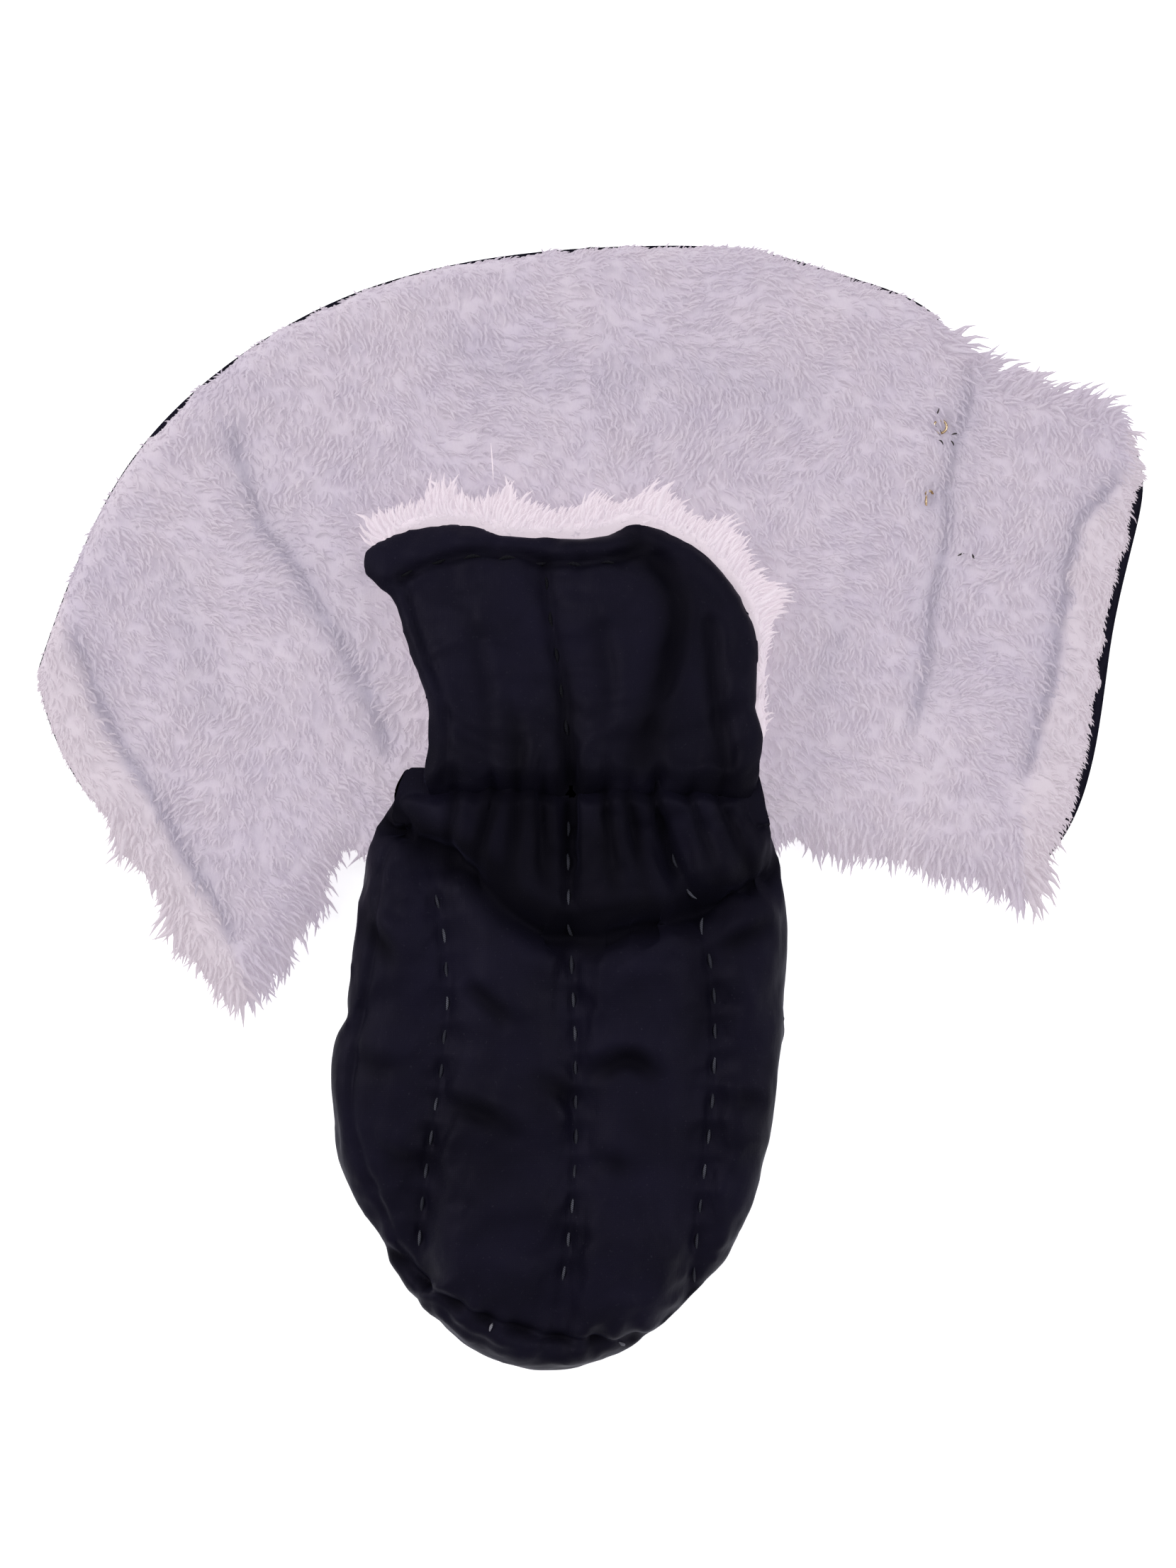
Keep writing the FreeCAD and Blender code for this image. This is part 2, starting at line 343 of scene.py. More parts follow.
class Finish:
    """One material with its node tree and the helpers that fill it."""

    def __init__(self, name):
        self.material = bpy.data.materials.new(name)
        self.material.use_nodes = True
        self.nodes = self.material.node_tree.nodes
        self.links = self.material.node_tree.links
        self.shader = self.nodes["Principled BSDF"]

    def add(self, kind, settings, inputs, output=0):
        node = self.nodes.new(kind)
        for key, value in settings.items():
            setattr(node, key, value)
        for key, value in inputs.items():
            self.feed(node.inputs[key], value)
        return Value(self, node.outputs[output])

    def feed(self, socket, value):
        if isinstance(value, Value):
            self.links.new(value.socket, socket)
        else:
            socket.default_value = value

    def where(self):
        return self.add("ShaderNodeTexCoord", {}, {}, "Object")

    def attribute(self, name, output="Fac"):
        return self.add("ShaderNodeAttribute", {"attribute_name": name}, {}, output)

    def stretched(self, at, scale, turn=(0, 0, 0)):
        return self.add("ShaderNodeMapping", {}, {"Vector": at, "Scale": scale, "Rotation": turn})

    def clouds(self, at, scale, detail=3.0, roughness=0.55):
        return self.add("ShaderNodeTexNoise", {}, {
            "Vector": at, "Scale": scale, "Detail": detail, "Roughness": roughness})

    def waves(self, at, scale, direction):
        return self.add("ShaderNodeTexWave", {"bands_direction": direction}, {"Vector": at, "Scale": scale})

    def between(self, value, low, high, to_low=0.0, to_high=1.0):
        return self.add("ShaderNodeMapRange", {"clamp": True}, {
            "Value": value, "From Min": low, "From Max": high, "To Min": to_low, "To Max": to_high})

    def mix(self, share, first, second):
        node = self.nodes.new("ShaderNodeMix")
        node.data_type = "RGBA"
        self.feed(node.inputs[0], share)
        self.feed(node.inputs[6], first)
        self.feed(node.inputs[7], second)
        return Value(self, node.outputs[2])

    def relief(self, height, distance, strength=1.0, over=None):
        inputs = {"Height": height, "Distance": distance, "Strength": strength}
        if over is not None:
            inputs["Normal"] = over
        return self.add("ShaderNodeBump", {}, inputs)

    def surface(self, **inputs):
        for key, value in inputs.items():
            self.feed(self.shader.inputs[key.replace("_", " ")], value)
        return self.material


# %% [markdown]
# ## The navy shell cloth
# It is a close-woven satin nylon: almost black, with a blue cast where it faces the light, a soft sheen at
# glancing angles, fine crease lines, and a weave that only shows close up. The weave is two wave patterns
# across each other at a thread every third of a millimetre. Rubbed high spots are a little paler. Down in
# the folds the colour is painted darker, as painted shade, and the cloth is duller there.

# %% Navy nylon


def navy_nylon(name, dark, light, rough):
    made = Finish(name)
    at = made.where()
    warp = made.waves(at, 480.0, "X")
    weft = made.waves(at, 480.0, "Y")
    weave = warp * weft
    patch = made.clouds(at, 28.0, 4.0)
    creases = made.clouds(made.stretched(at, (1.0, 0.45, 1.0), (0, 0, 0.4)), 120.0, 5.0, 0.6)
    dust = made.between(made.clouds(at, 900.0, 2.0), 0.66, 0.78)
    base = made.mix(made.between(patch, 0.35, 0.68), (*dark, 1), (*light, 1))
    base = made.mix(dust * 0.05, base, (0.16, 0.15, 0.19, 1))
    # painted shade: where the pieces mark folds, creases and seams, the colour is mixed towards near black
    deep = made.attribute("deep")
    base = made.mix(deep * 0.85, base, (0.0006, 0.0005, 0.0012, 1))
    bumps = made.relief(creases, 0.9 * MM, 0.55)
    bumps = made.relief(weave, 0.05 * MM, 0.5, bumps)
    return made.surface(
        Base_Color=base,
        Roughness=made.between(patch + creases * 0.4 + deep * 0.5, 0.4, 1.5, rough - 0.06, rough + 0.38),
        Normal=bumps,
        Sheen_Weight=0.04,
        Sheen_Roughness=0.4,
        Sheen_Tint=(0.35, 0.33, 0.7, 1),
        Specular_IOR_Level=0.09,
        Specular_Tint=(0.78, 0.72, 1.0, 1),
    )


navy = navy_nylon("navy_nylon", (0.0026, 0.0022, 0.0058), (0.0050, 0.0042, 0.0110), 0.50)
navy_lining = navy_nylon("navy_lining", (0.010, 0.010, 0.018), (0.016, 0.016, 0.028), 0.62)
print("cloth finishes ready")

# %% [markdown]
# ## Fleece
# Sherpa pile is thousands of thin curled locks over a pale backing. Its colour is a warm lilac white on the
# tips, and down in the pile, in its creases and round its partings it is painted a cool blue grey, as painted
# shade. Light that enters one lock comes out of many others, so the shader gives part of its colour as an
# even glow, which is painted light. Fine noise stands for single fibres.

# %% Fleece finishes


def fleece(name, tip, root, glow, scale=1.0):
    made = Finish(name)
    at = made.where()
    broad = made.clouds(at, 14.0, 2.0)
    middle = made.clouds(at, 120.0, 4.0)
    flecks = made.between(made.clouds(made.stretched(at, (1.0, 0.5, 1.0), (0, 0, 0.5)), 420.0, 2.0), 0.66, 0.76)
    fibres = made.clouds(made.stretched(at, (1.0, 0.35, 1.0), (0, 0, 0.9)), 1500.0 * scale, 3.0, 0.7)
    # painted shade: at lock roots, over the mats under the locks, in the creases and round the partings, the
    # colour is mixed towards a darker blue grey
    depth = made.attribute("depth") * 0.22 + made.attribute("ground") * 0.75
    shade = made.between(middle + broad, 0.72, 1.28)
    base = made.mix(shade, (*root, 1), (*tip, 1))
    base = made.mix(depth * 0.85, base, (0.52, 0.47, 0.60, 1))
    base = made.mix(made.between(fibres, 0.35, 0.75, 0.0, 0.35), base, (0.96, 0.89, 0.96, 1))
    base = made.mix(flecks * 0.35, base, (0.42, 0.37, 0.47, 1))
    # painted highlight: the folded-over front edges are mixed towards near white
    base = made.mix(made.attribute("turned") * 0.55, base, (1.0, 0.88, 0.945, 1))
    bumps = made.relief(fibres, 0.35 * MM, 0.7)
    return made.surface(
        # painted light: the base colour is cut to a third and the rest is given off as glow, though the fleece
        # is no lamp
        Base_Color=made.mix(0.66, base, (0, 0, 0, 1)),
        Roughness=made.between(fibres, 0.3, 0.8, 0.98, 0.80),
        Normal=bumps,
        Emission_Color=base,
        Emission_Strength=glow,
        Sheen_Weight=0.08,
        Sheen_Roughness=0.6,
        Specular_IOR_Level=0.08,
    )


pile_finish = fleece("fleece_pile", (0.93, 0.815, 0.925), (0.83, 0.725, 0.87), 0.39)
# painted light: the same fleece in paler colours and with a stronger glow, as if more light fell on it, for the
# brow flap's rolled edge, its tufts and the long hair
lit_fleece_finish = fleece("fleece_lit_edge", (1.0, 0.87, 0.945), (0.96, 0.83, 0.92), 0.56)
print("fleece finishes ready")

# %% [markdown]
# ## Thread and metal
# The quilting is sewn by hand with a grey two-ply thread, whose twist shows as slanted ridges. The small
# ring and the bent wire are brass, dulled in the recesses and bright where they rub.

# %% Thread and brass finishes


def thread(name, dark, light):
    made = Finish(name)
    at = made.where()
    twist = made.waves(made.stretched(at, (1, 1, 1), (0, 0, 0.6)), 520.0, "Y")
    fuzz = made.clouds(at, 2600.0, 3.0)
    # some stretches of thread are paler than others, at random
    paler_stretches = made.between(made.clouds(at, 45.0, 2.0), 0.46, 0.66, 0.10, 1.0)
    base = made.mix((twist * 0.7 + fuzz * 0.3) * paler_stretches, (*dark, 1), (*light, 1))
    return made.surface(
        Base_Color=base,
        Roughness=made.between(fuzz, 0.3, 0.7, 0.55, 0.8),
        Normal=made.relief(twist + fuzz * 0.5, 0.12 * MM, 0.8),
        Sheen_Weight=0.03,
        Specular_IOR_Level=0.10,
    )


grey_thread = thread("grey_thread", (0.016, 0.016, 0.024), (0.13, 0.13, 0.16))
pale_thread = thread("pale_thread", (0.10, 0.10, 0.12), (0.26, 0.25, 0.28))
navy_thread = thread("navy_thread", (0.002, 0.002, 0.004), (0.006, 0.005, 0.011))
dark_thread = thread("dark_thread", (0.03, 0.027, 0.027), (0.09, 0.08, 0.075))


def brass(name):
    made = Finish(name)
    at = made.where()
    spots = made.clouds(at, 900.0, 4.0)
    wear = made.between(spots, 0.42, 0.62)
    return made.surface(
        Base_Color=made.mix(wear, (0.34, 0.20, 0.09, 1), (0.83, 0.68, 0.43, 1)),
        Metallic=made.between(spots, 0.3, 0.5, 0.75, 1.0),
        Roughness=made.between(spots, 0.35, 0.65, 0.48, 0.2),
        Normal=made.relief(spots, 0.06 * MM, 0.5),
    )


brass_wire = brass("worn_brass")


def knitted_elastic(name):
    made = Finish(name)
    at = made.where()
    ribs = made.waves(at, 330.0, "X")
    knit = made.waves(at, 700.0, "Y") * ribs
    wear = made.clouds(at, 160.0, 3.0)
    return made.surface(
        Base_Color=made.mix(made.between(wear + ribs * 0.4, 0.3, 1.0),
                            (0.42, 0.41, 0.42, 1), (0.70, 0.69, 0.68, 1)),
        Roughness=made.between(wear, 0.3, 0.7, 0.7, 0.9),
        Normal=made.relief(ribs + knit * 0.4, 0.15 * MM, 0.8),
    )


white_elastic = knitted_elastic("knitted_elastic")
print("thread, brass and elastic ready")

# %% [markdown]
# ## The crown's plan
# The crown is a padded pouch. Seen from above its outline is read off the frame by looking in at its side
# band from all round. At the rim the pouch is open, so there the outline is a straight line across.

# %% Crown outline and stitch places
CROWN_HEART = np.array([-10 * MM, -90 * MM])
RIM_REACH = 40 * MM  # the solid forms run on past the rim, and are cut there later
ELASTIC_LEVEL = 31.5 * MM
CASING_SKIN = ELASTIC_LEVEL + 2 * MM  # the cloth over the elastic is no lower than this


def tree_of(node):
    return BVHTree.FromPolygons([v.co for v in frame["nodes"][node].data.vertices],
                                [p.vertices for p in frame["nodes"][node].data.polygons])


LOOKS = 240  # directions from which the side band is looked at
LOOK_FROM = 0.4


def crown_plan():
    band = tree_of("crown_side_shell")
    height = (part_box("crown_side_shell")[0].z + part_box("crown_side_shell")[1].z) / 2
    found = []
    for turn in np.linspace(0, 2 * math.pi, LOOKS, endpoint=False):
        way = np.array([math.cos(turn), math.sin(turn)])
        start = CROWN_HEART + LOOK_FROM * way
        hit = band.ray_cast(Vector((*start, height)), Vector((*-way, 0)))[0]
        past_rim = way[1] > 0 and CROWN_HEART[1] + way[1] * 1.0 > RIM_Y
        if hit is None or (np.array(hit[:2]) - CROWN_HEART) @ way < 0.02:
            hit = None
        at_rim = CROWN_HEART + way * (RIM_Y - CROWN_HEART[1]) / way[1] if past_rim else None
        if hit is None or (at_rim is not None and abs(at_rim[0]) < abs(hit[0]) and hit[1] > RIM_Y):
            found.append(at_rim)
        else:
            found.append(np.array(hit[:2]))
    return resampled(np.array(found), 3 * MM)


crown_loop = crown_plan()
print("crown outline", len(crown_loop), "points, widest", np.ptp(crown_loop[:, 0]).round(4))


def stitch_places(node):
    """Where each stitch of a node lies: its middle and its direction, read from the frame's small bars."""
    shape = bmesh.new()
    shape.from_mesh(frame["nodes"][node].data)
    bmesh.ops.remove_doubles(shape, verts=shape.verts, dist=SAME_PLACE)
    left = set(shape.verts)
    found = []
    while left:
        todo = [left.pop()]
        group = []
        while todo:
            vert = todo.pop()
            group.append(np.array(vert.co))
            near = [e.other_vert(vert) for e in vert.link_edges if e.other_vert(vert) in left]
            left.difference_update(near)
            todo += near
        group = np.array(group)
        middle = (group.max(0) + group.min(0)) / 2
        spread = group - group.mean(0)
        way = np.linalg.svd(spread, full_matrices=False)[2][0]
        found.append((middle, way if way[1] < 0 else -way))
    shape.free()
    return sorted(found, key=lambda item: -item[0][1])


quilting = {side: stitch_places(f"quilting_{side}") for side in ("left", "centre", "right")}
quilt_lines = {}
for side, places in quilting.items():
    line = np.array([middle[:2] for middle, _ in places])
    ends = [2 * line[0] - line[1], 2 * line[-1] - line[-2]]
    quilt_lines[side] = np.vstack([ends[0], line, ends[1]])
    print(side, "line has", len(places), "stitches")

# %% [markdown]
# ## Pouch forms
# A pouch form is made of rings. Each ring is the outline drawn in towards a line down the middle, at its own
# height, so the rings climb from the flat underside, round the side and over the top. The same rings make
# the outer form, the hollow that is cut from it, and the lining.

# %% Ringed forms
SPINE = np.array([(-14 * MM, -128 * MM), (-4 * MM, 6 * MM)])


def run_past_rim(loop, reach):
    """Moves the part of an outline that lies on the rim out past it."""
    moved = loop.copy()
    at_rim = moved[:, 1] > RIM_Y - 9 * MM
    moved[at_rim, 1] = RIM_Y + reach
    return moved


def drawn_in(loop, amount):
    """An outline moved inwards by an even amount."""
    along = np.roll(loop, -2, axis=0) - np.roll(loop, 2, axis=0)
    along /= np.maximum(np.linalg.norm(along, axis=1, keepdims=True), 1e-9)
    inward = np.column_stack([-along[:, 1], along[:, 0]])
    test = loop + inward * 2 * MM
    if inside(test, loop).mean() < 0.5:
        inward = -inward
    return loop + inward * amount


def pouch_rings(loop, low, high, squareness, steps=9):
    """Points and faces of a closed pouch between two heights. More squareness gives a fuller edge."""
    foot = line_distance(loop, SPINE)[1]
    middle = (low + high) / 2
    half = (high - low) / 2
    points = []
    count = len(loop)
    for tilt in np.linspace(-math.pi / 2 * 0.985, math.pi / 2 * 0.985, 2 * steps):
        out = abs(math.cos(tilt)) ** (2 / squareness)
        up = math.copysign(abs(math.sin(tilt)) ** (2 / squareness), tilt)
        ring = foot + (loop - foot) * out
        points += [(x, y, middle + half * up) for x, y in ring]
    faces = []
    for row in range(2 * steps - 1):
        for k in range(count):
            after = (k + 1) % count
            faces.append((row * count + k, row * count + after, (row + 1) * count + after,
                          (row + 1) * count + k))
    first, last = 0, (2 * steps - 1) * count
    points += [(*np.mean(foot, axis=0), low), (*np.mean(foot, axis=0), high)]
    for k in range(count):
        after = (k + 1) % count
        faces.append((first + after, first + k, len(points) - 2))
        faces.append((last + k, last + after, len(points) - 1))
    return points, faces


# %% [markdown]
# ## Puffing cloth with a simulation
# Wadding pushes the shell out, and the stitching holds it down. Blender's cloth with pressure does just
# that: the points on seams and where the hat lies on the table are pinned, the rest swells, and a little
# extra cloth makes it buckle. The form starts flatter than it ends, and a cap keeps it inside its space.

# %% Remesh and inflate


def remeshed(piece, voxel):
    step = piece.modifiers.new("Remesh", "REMESH")
    step.mode = "VOXEL"
    step.voxel_size = voxel
    return bake(piece)


DENT = 1.5 * MM  # wadding lets no point sink further than this
OFF_TABLE = 0.3 * MM  # the lowest that any padded cloth lies
NYLON_CLOTH = {"quality": 5, "mass": 0.12, "tension_stiffness": 18, "compression_stiffness": 12,
               "shear_stiffness": 6, "bending_stiffness": 0.25, "air_damping": 3}
SWELL_PRESSURE = 3.0
SWELL_EXTRA = 0.05  # the cloth is cut this share bigger than its form


def inflate(piece, pins, pressure, extra, cap, frames=20):
    """pins is how firmly each point is held, from 0 to 1. extra is how much bigger the cloth is cut."""
    before = places_of(piece)
    outward = normals_of(piece)
    group = piece.vertex_groups.new(name="seams")
    for index, weight in enumerate(pins):
        if weight > 0.01:
            group.add([index], float(weight), "REPLACE")
    cloth = piece.modifiers.new("Cloth", "CLOTH")
    settings = cloth.settings
    for key, value in NYLON_CLOTH.items():
        setattr(settings, key, value)
    settings.use_pressure = True
    settings.uniform_pressure_force = pressure
    settings.shrink_min = -extra
    settings.vertex_group_mass = group.name
    settings.effector_weights.gravity = 0
    cloth.collision_settings.use_self_collision = False
    cloth.point_cache.frame_start = 1
    cloth.point_cache.frame_end = frames
    scene = bpy.context.scene
    for frame_number in range(1, frames + 1):
        scene.frame_set(frame_number)
    bake(piece)
    scene.frame_set(1)
    piece.vertex_groups.clear()
    after = places_of(piece)
    moved = after - before
    moved -= outward * np.minimum((moved * outward).sum(axis=1) + DENT, 0)[:, None]
    length = np.linalg.norm(moved, axis=1, keepdims=True)
    capped = before + moved * np.minimum(1, cap / np.maximum(length, 1e-9))
    capped[:, 2] = np.maximum(capped[:, 2], OFF_TABLE)
    put_places(piece, capped)
    print(piece.name, "swelled by", round(float(length.mean() / MM), 2), "mm on average")
    return piece


def cut_away(piece, cutter):
    step = piece.modifiers.new("Cut", "BOOLEAN")
    step.operation = "DIFFERENCE"
    step.solver = "EXACT"
    step.object = cutter
    bake(piece)
    bpy.data.objects.remove(cutter)
    return piece


# %% [markdown]
# ## The crown
# The outer form is remeshed to even squares, quilted by lowering it along the three stitch lines, and
# swelled. The hollow for the head and the open rim are cut out of it, and a second remesh makes the
# whole pouch one even skin, ready for its finer creases.

# %% Quilted crown form
CROWN_FULL = CROWN_TOP + 1.5 * MM
WALL = 9.2 * MM
ROOM_SAG = 8 * MM  # the front wadding sags this far into the empty room


def crown_form():
    outer = run_past_rim(drawn_in(crown_loop, 0.8 * MM), RIM_REACH)
    piece = new_piece("crown_pouch", *pouch_rings(outer, 0.6 * MM, CROWN_FULL - 3 * MM, 2.9))
    remeshed(piece, 3.2 * MM)
    places = places_of(piece)
    top = normals_of(piece)[:, 2] > 0.25
    pins = np.where(places[:, 2] < 5 * MM, 1.0, 0.0)
    pins = np.maximum(pins, soft(RIM_Y - 10 * MM, RIM_Y - 3 * MM, places[:, 1]))
    for line in quilt_lines.values():
        away = line_distance(places[:, :2], line)[0]
        places[:, 2] -= np.where(top, 5.5 * MM * bump_at(away, 9 * MM), 0)
        pins = np.maximum(pins, np.where(top & (away < 2.4 * MM), 1.0, 0.0))
    put_places(piece, places)
    return inflate(piece, pins, SWELL_PRESSURE, SWELL_EXTRA, 9 * MM)


crown_pouch = crown_form()


def hollow_form(name, wall, reach):
    """The room inside, under the sagging front."""
    loop = run_past_rim(drawn_in(crown_loop, wall + 3 * MM), reach)
    loop[:, 0] = np.where(loop[:, 1] > RIM_Y, np.clip(loop[:, 0], -49 * MM, 48 * MM), loop[:, 0])
    return new_piece(name, *pouch_rings(loop, wall, CROWN_TOP - wall - ROOM_SAG, 3.2))


def slab_past_rim():
    made = bmesh.new()
    bmesh.ops.create_cube(made, size=0.2)
    bmesh.ops.translate(made, verts=made.verts, vec=(0, RIM_Y + 0.1, 0))
    mesh = bpy.data.meshes.new("past_rim")
    made.to_mesh(mesh)
    made.free()
    piece = bpy.data.objects.new("past_rim", mesh)
    bpy.context.scene.collection.objects.link(piece)
    return piece


cut_away(crown_pouch, hollow_form("hollow", WALL, RIM_REACH + 10 * MM))
cut_away(crown_pouch, slab_past_rim())
remeshed(crown_pouch, 2.2 * MM)
refine(crown_pouch, 1)
print("crown pouch has", len(crown_pouch.data.polygons), "faces")

# %% [markdown]
# ## Creases in the crown
# A remesh blurs anything narrower than its squares, so the fine shapes come after it, as small moves along
# the surface. They are the sewn channels with a lens-shaped pucker at each stitch, the pleats that fan out
# from the gathered rim, the deep fold where the puffed cloth rolls over, the crumples, and the bottom seam.
# Along the fold, the pleats, the crumples and the seam, and in a patch right of the middle, the cloth's
# colour is painted darker, as painted shade.

# %% Fine relief of the crown
GATHER_Y = 1.5 * MM
FOLD_LINE = curve_mm([
    (-80, 2), (-63, -12), (-44, -23), (-27, -38.5), (-6, -47), (18, -43), (44, -35.5), (76, -18)])
END_SEAM = curve_mm([
    (-92, -140), (-70, -159), (-50, -173), (-24, -183.5), (-1, -188), (21, -187.5), (40, -170)])
# each pleat is its place along the rim in millimetres, its slant, and how strong it is
PLEATS = [(-47, 0.12, 0.7), (-34, 0.22, 1.0), (-25, 0.10, 0.8), (-17, -0.05, 1.0), (-6.5, 0.02, 1.1),
          (5, -0.10, 1.0), (13, -0.2, 0.8), (22, -0.28, 1.0), (34, -0.36, 0.7), (45, -0.4, 0.7)]
# each crumple is a few points of its line in millimetres, and how strong it is
CRUMPLES = [([(-52, -104), (-38, -108), (-24, -117)], 1.7), ([(-22, -95), (-13, -98), (-4, -106)], 1.3),
            ([(-3, -97), (12, -89), (26, -97)], 2.0), ([(-46, -62), (-35, -69), (-27, -80)], 1.6),
            ([(-2, -125), (8, -125), (18, -131)], 1.0), ([(-82, -36), (-74, -48), (-66, -60)], 1.5),
            ([(43, -52), (54, -47), (66, -41)], 1.5), ([(45, -108), (53, -104), (62, -105)], 1.0),
            ([(-84, -88), (-72, -92), (-58, -90)], 1.0), ([(-78, -118), (-66, -124), (-52, -124)], 0.8)]


def side_of(points, nearest):
    """Positive on the rim's side of a line that runs across."""
    gap = points - nearest
    return np.where(gap[:, 1] > 0, 1, -1) * np.linalg.norm(gap, axis=1)


def puckers(points, places, along_size, across_size):
    total = np.zeros(len(points))
    for middle, way in places:
        gap = points - middle[:2]
        along = gap @ way[:2]
        across = gap @ np.array([-way[1], way[0]])
        total += np.exp(-((along / along_size) ** 2) - (across / across_size) ** 2)
    return total


def crown_relief(piece):
    places = places_of(piece)
    flat = places[:, :2]
    normals = normals_of(piece)
    top = soft(0.0, 0.5, normals[:, 2]) * soft(CROWN_TOP * 0.5, CROWN_TOP * 0.68, places[:, 2])
    skin = np.maximum(top, soft(-0.3, 0.3, (line_distance(flat, crown_loop, True)[0] < WALL * 0.55) - 0.5))
    move = lumps(places, (1.1, 34, 3, EVEN), (0.55, 13, 4, (1, 0.6, 1)), (0.22, 5, 5, (1.4, 0.7, 1)))
    for side, places_there in quilting.items():
        away = line_distance(flat, quilt_lines[side])[0]
        move -= 0.7 * bump_at(away, 1.6 * MM) + 1.0 * bump_at(away, 5 * MM)
        move -= 1.2 * puckers(flat, places_there, 4.4 * MM, 1.9 * MM)
        between = [((a[0] + b[0]) / 2, a[1]) for a, b in zip(places_there, places_there[1:])]
        move += 0.6 * puckers(flat, between, 2.4 * MM, 7 * MM)
    _, nearest, along = line_distance(flat, FOLD_LINE)
    side = side_of(flat, nearest)
    # painted shade: dark is how much the cloth's colour is darkened, along the fold, the pleats, the crumples
    # and the bottom seam, and in a patch right of the middle
    dark = 1.25 * bump_at(side - 1.5 * MM, 7 * MM)
    dark = dark + 0.5 * soft(0, 8 * MM, side) * soft(-52 * MM, -38 * MM, flat[:, 0])
    dark *= 1 - 0.5 * soft(14 * MM, 30 * MM, flat[:, 0])
    ruck = 1 + 0.35 * np.sin(along / (5.5 * MM)) + 0.25 * noise(places, 12 * MM, 8)
    move -= 4.4 * bump_at(side + 0.5 * MM, 3.6 * MM) * ruck + 4.0 * bump_at(side + 1 * MM, 9 * MM)
    move += 3.0 * bump_at(side - 10 * MM, 7 * MM) * ruck
    move += 1.2 * bump_at(side + 9 * MM, 6 * MM)
    for x, slant, weight in PLEATS:
        centre = x * MM + slant * (flat[:, 1] - GATHER_Y)
        fade = soft(-44 * MM, -6 * MM, flat[:, 1])
        move -= 3.0 * weight * fade * bump_at(flat[:, 0] - centre, (1.8 + 2.2 * (1 - fade)) * MM)
        dark += 0.7 * weight * fade * bump_at(flat[:, 0] - centre, 3.0 * MM)
        move += 1.2 * weight * fade * bump_at(flat[:, 0] - centre - 4.2 * MM, 2.8 * MM)
    for line, weight in CRUMPLES:
        _, nearest, along = line_distance(flat, curve_mm(line))
        side = side_of(flat, nearest)
        taper = np.sin(np.pi * np.clip(along / max(along.max(), 1e-9), 0, 1))
        taper *= 1 + 0.4 * noise(places, 8 * MM, 16)
        move += weight * taper * (1.1 * bump_at(side - 6 * MM, 5.5 * MM) - 1.5 * bump_at(side, 3.4 * MM))
        dark += 0.6 * weight * taper * bump_at(side, 4.4 * MM)
    _, nearest, along = line_distance(flat, END_SEAM)
    side = side_of(flat, nearest)
    wave = np.sin(along / (2.1 * MM) + 1.5 * noise(places, 9 * MM, 11))
    move -= 2.6 * bump_at(side, 1.8 * MM) + 1.2 * wave * bump_at(side, 6 * MM)
    move += 1.6 * bump_at(side + 6 * MM, 4 * MM)
    dark += 1.0 * bump_at(side, 2.4 * MM) * (0.5 + 0.5 * wave) + 0.3 * noise(places, 20 * MM, 17)
    dark += 0.5 * bump_at(np.linalg.norm((flat - [39 * MM, -62 * MM]) / [1, 2.4], axis=1), 9 * MM)
    # the painted shade is kept only where the cloth faces up, and handed to the navy finish
    put_attribute(piece, "deep", np.clip(dark * soft(-0.3, 0.2, normals[:, 2]), 0, 1))
    move = move * top
    edge = line_distance(flat, crown_loop, True)[0]
    around = np.sin(line_distance(flat, crown_loop, True)[2] / (3.1 * MM) + 2 * noise(places, 16 * MM, 12))
    rim_side = 1 - soft(RIM_Y - 34 * MM, RIM_Y - 12 * MM, flat[:, 1])
    band = bump_at(edge - 7 * MM, 1.4 * MM) * rim_side
    band *= soft(-10 * MM, -50 * MM, flat[:, 0])
    move -= top * (1.3 * band + 0.4 * around * bump_at(edge - 7 * MM, 5 * MM) * rim_side)
    move += (skin - top).clip(0, 1) * (0.8 * noise(places, 16 * MM, 13) + 0.5 * noise(places, 7 * MM, 14))
    places += normals * (move * MM)[:, None]
    rim_wave = 0.9 * MM * np.sin(places[:, 0] / (2.3 * MM) + 2 * noise(places * [1, 0, 0], 15 * MM, 15))
    places[:, 2] -= top * 7 * MM * soft(-2.5 * MM, 4.5 * MM, places[:, 1] - GATHER_Y + rim_wave)
    waist = soft(0, RIM_Y, places[:, 1])
    places[:, 0] *= 1 - 0.03 * waist
    shoulder = soft(50 * MM, 64 * MM, np.abs(places[:, 0]))
    places[:, 2] -= waist * 6 * MM * shoulder * (places[:, 2] > CROWN_TOP / 2)
    over_elastic = (top > 0.3) & (places[:, 1] > -8 * MM)
    places[over_elastic, 2] = np.maximum(places[over_elastic, 2], CASING_SKIN)
    places[:, 1] = np.minimum(places[:, 1], RIM_Y)
    places[:, 2] = np.maximum(places[:, 2], OFF_TABLE)
    put_places(piece, places)


crown_relief(crown_pouch)
crown_pouch.data.materials.append(navy)
print("crown pouch is", [round(float(s), 4) for s in np.ptp(places_of(crown_pouch), axis=0)])

# %% [markdown]
# Inside the pouch hangs a thin lining, which ends in the rim's casing. The elastic lies flat in the casing.
# It is a ribbed band, so its ribs are a sum of two even waves along it.

# %% Lining and elastic
crown_lining = remeshed(hollow_form("crown_lining", WALL + 0.3 * MM, RIM_REACH), 3 * MM)
cut_away(crown_lining, remeshed(hollow_form("lining_room", WALL + 1.7 * MM, RIM_REACH + 10 * MM), 3 * MM))
cut_away(crown_lining, slab_past_rim())
crown_lining.data.materials.append(navy_lining)


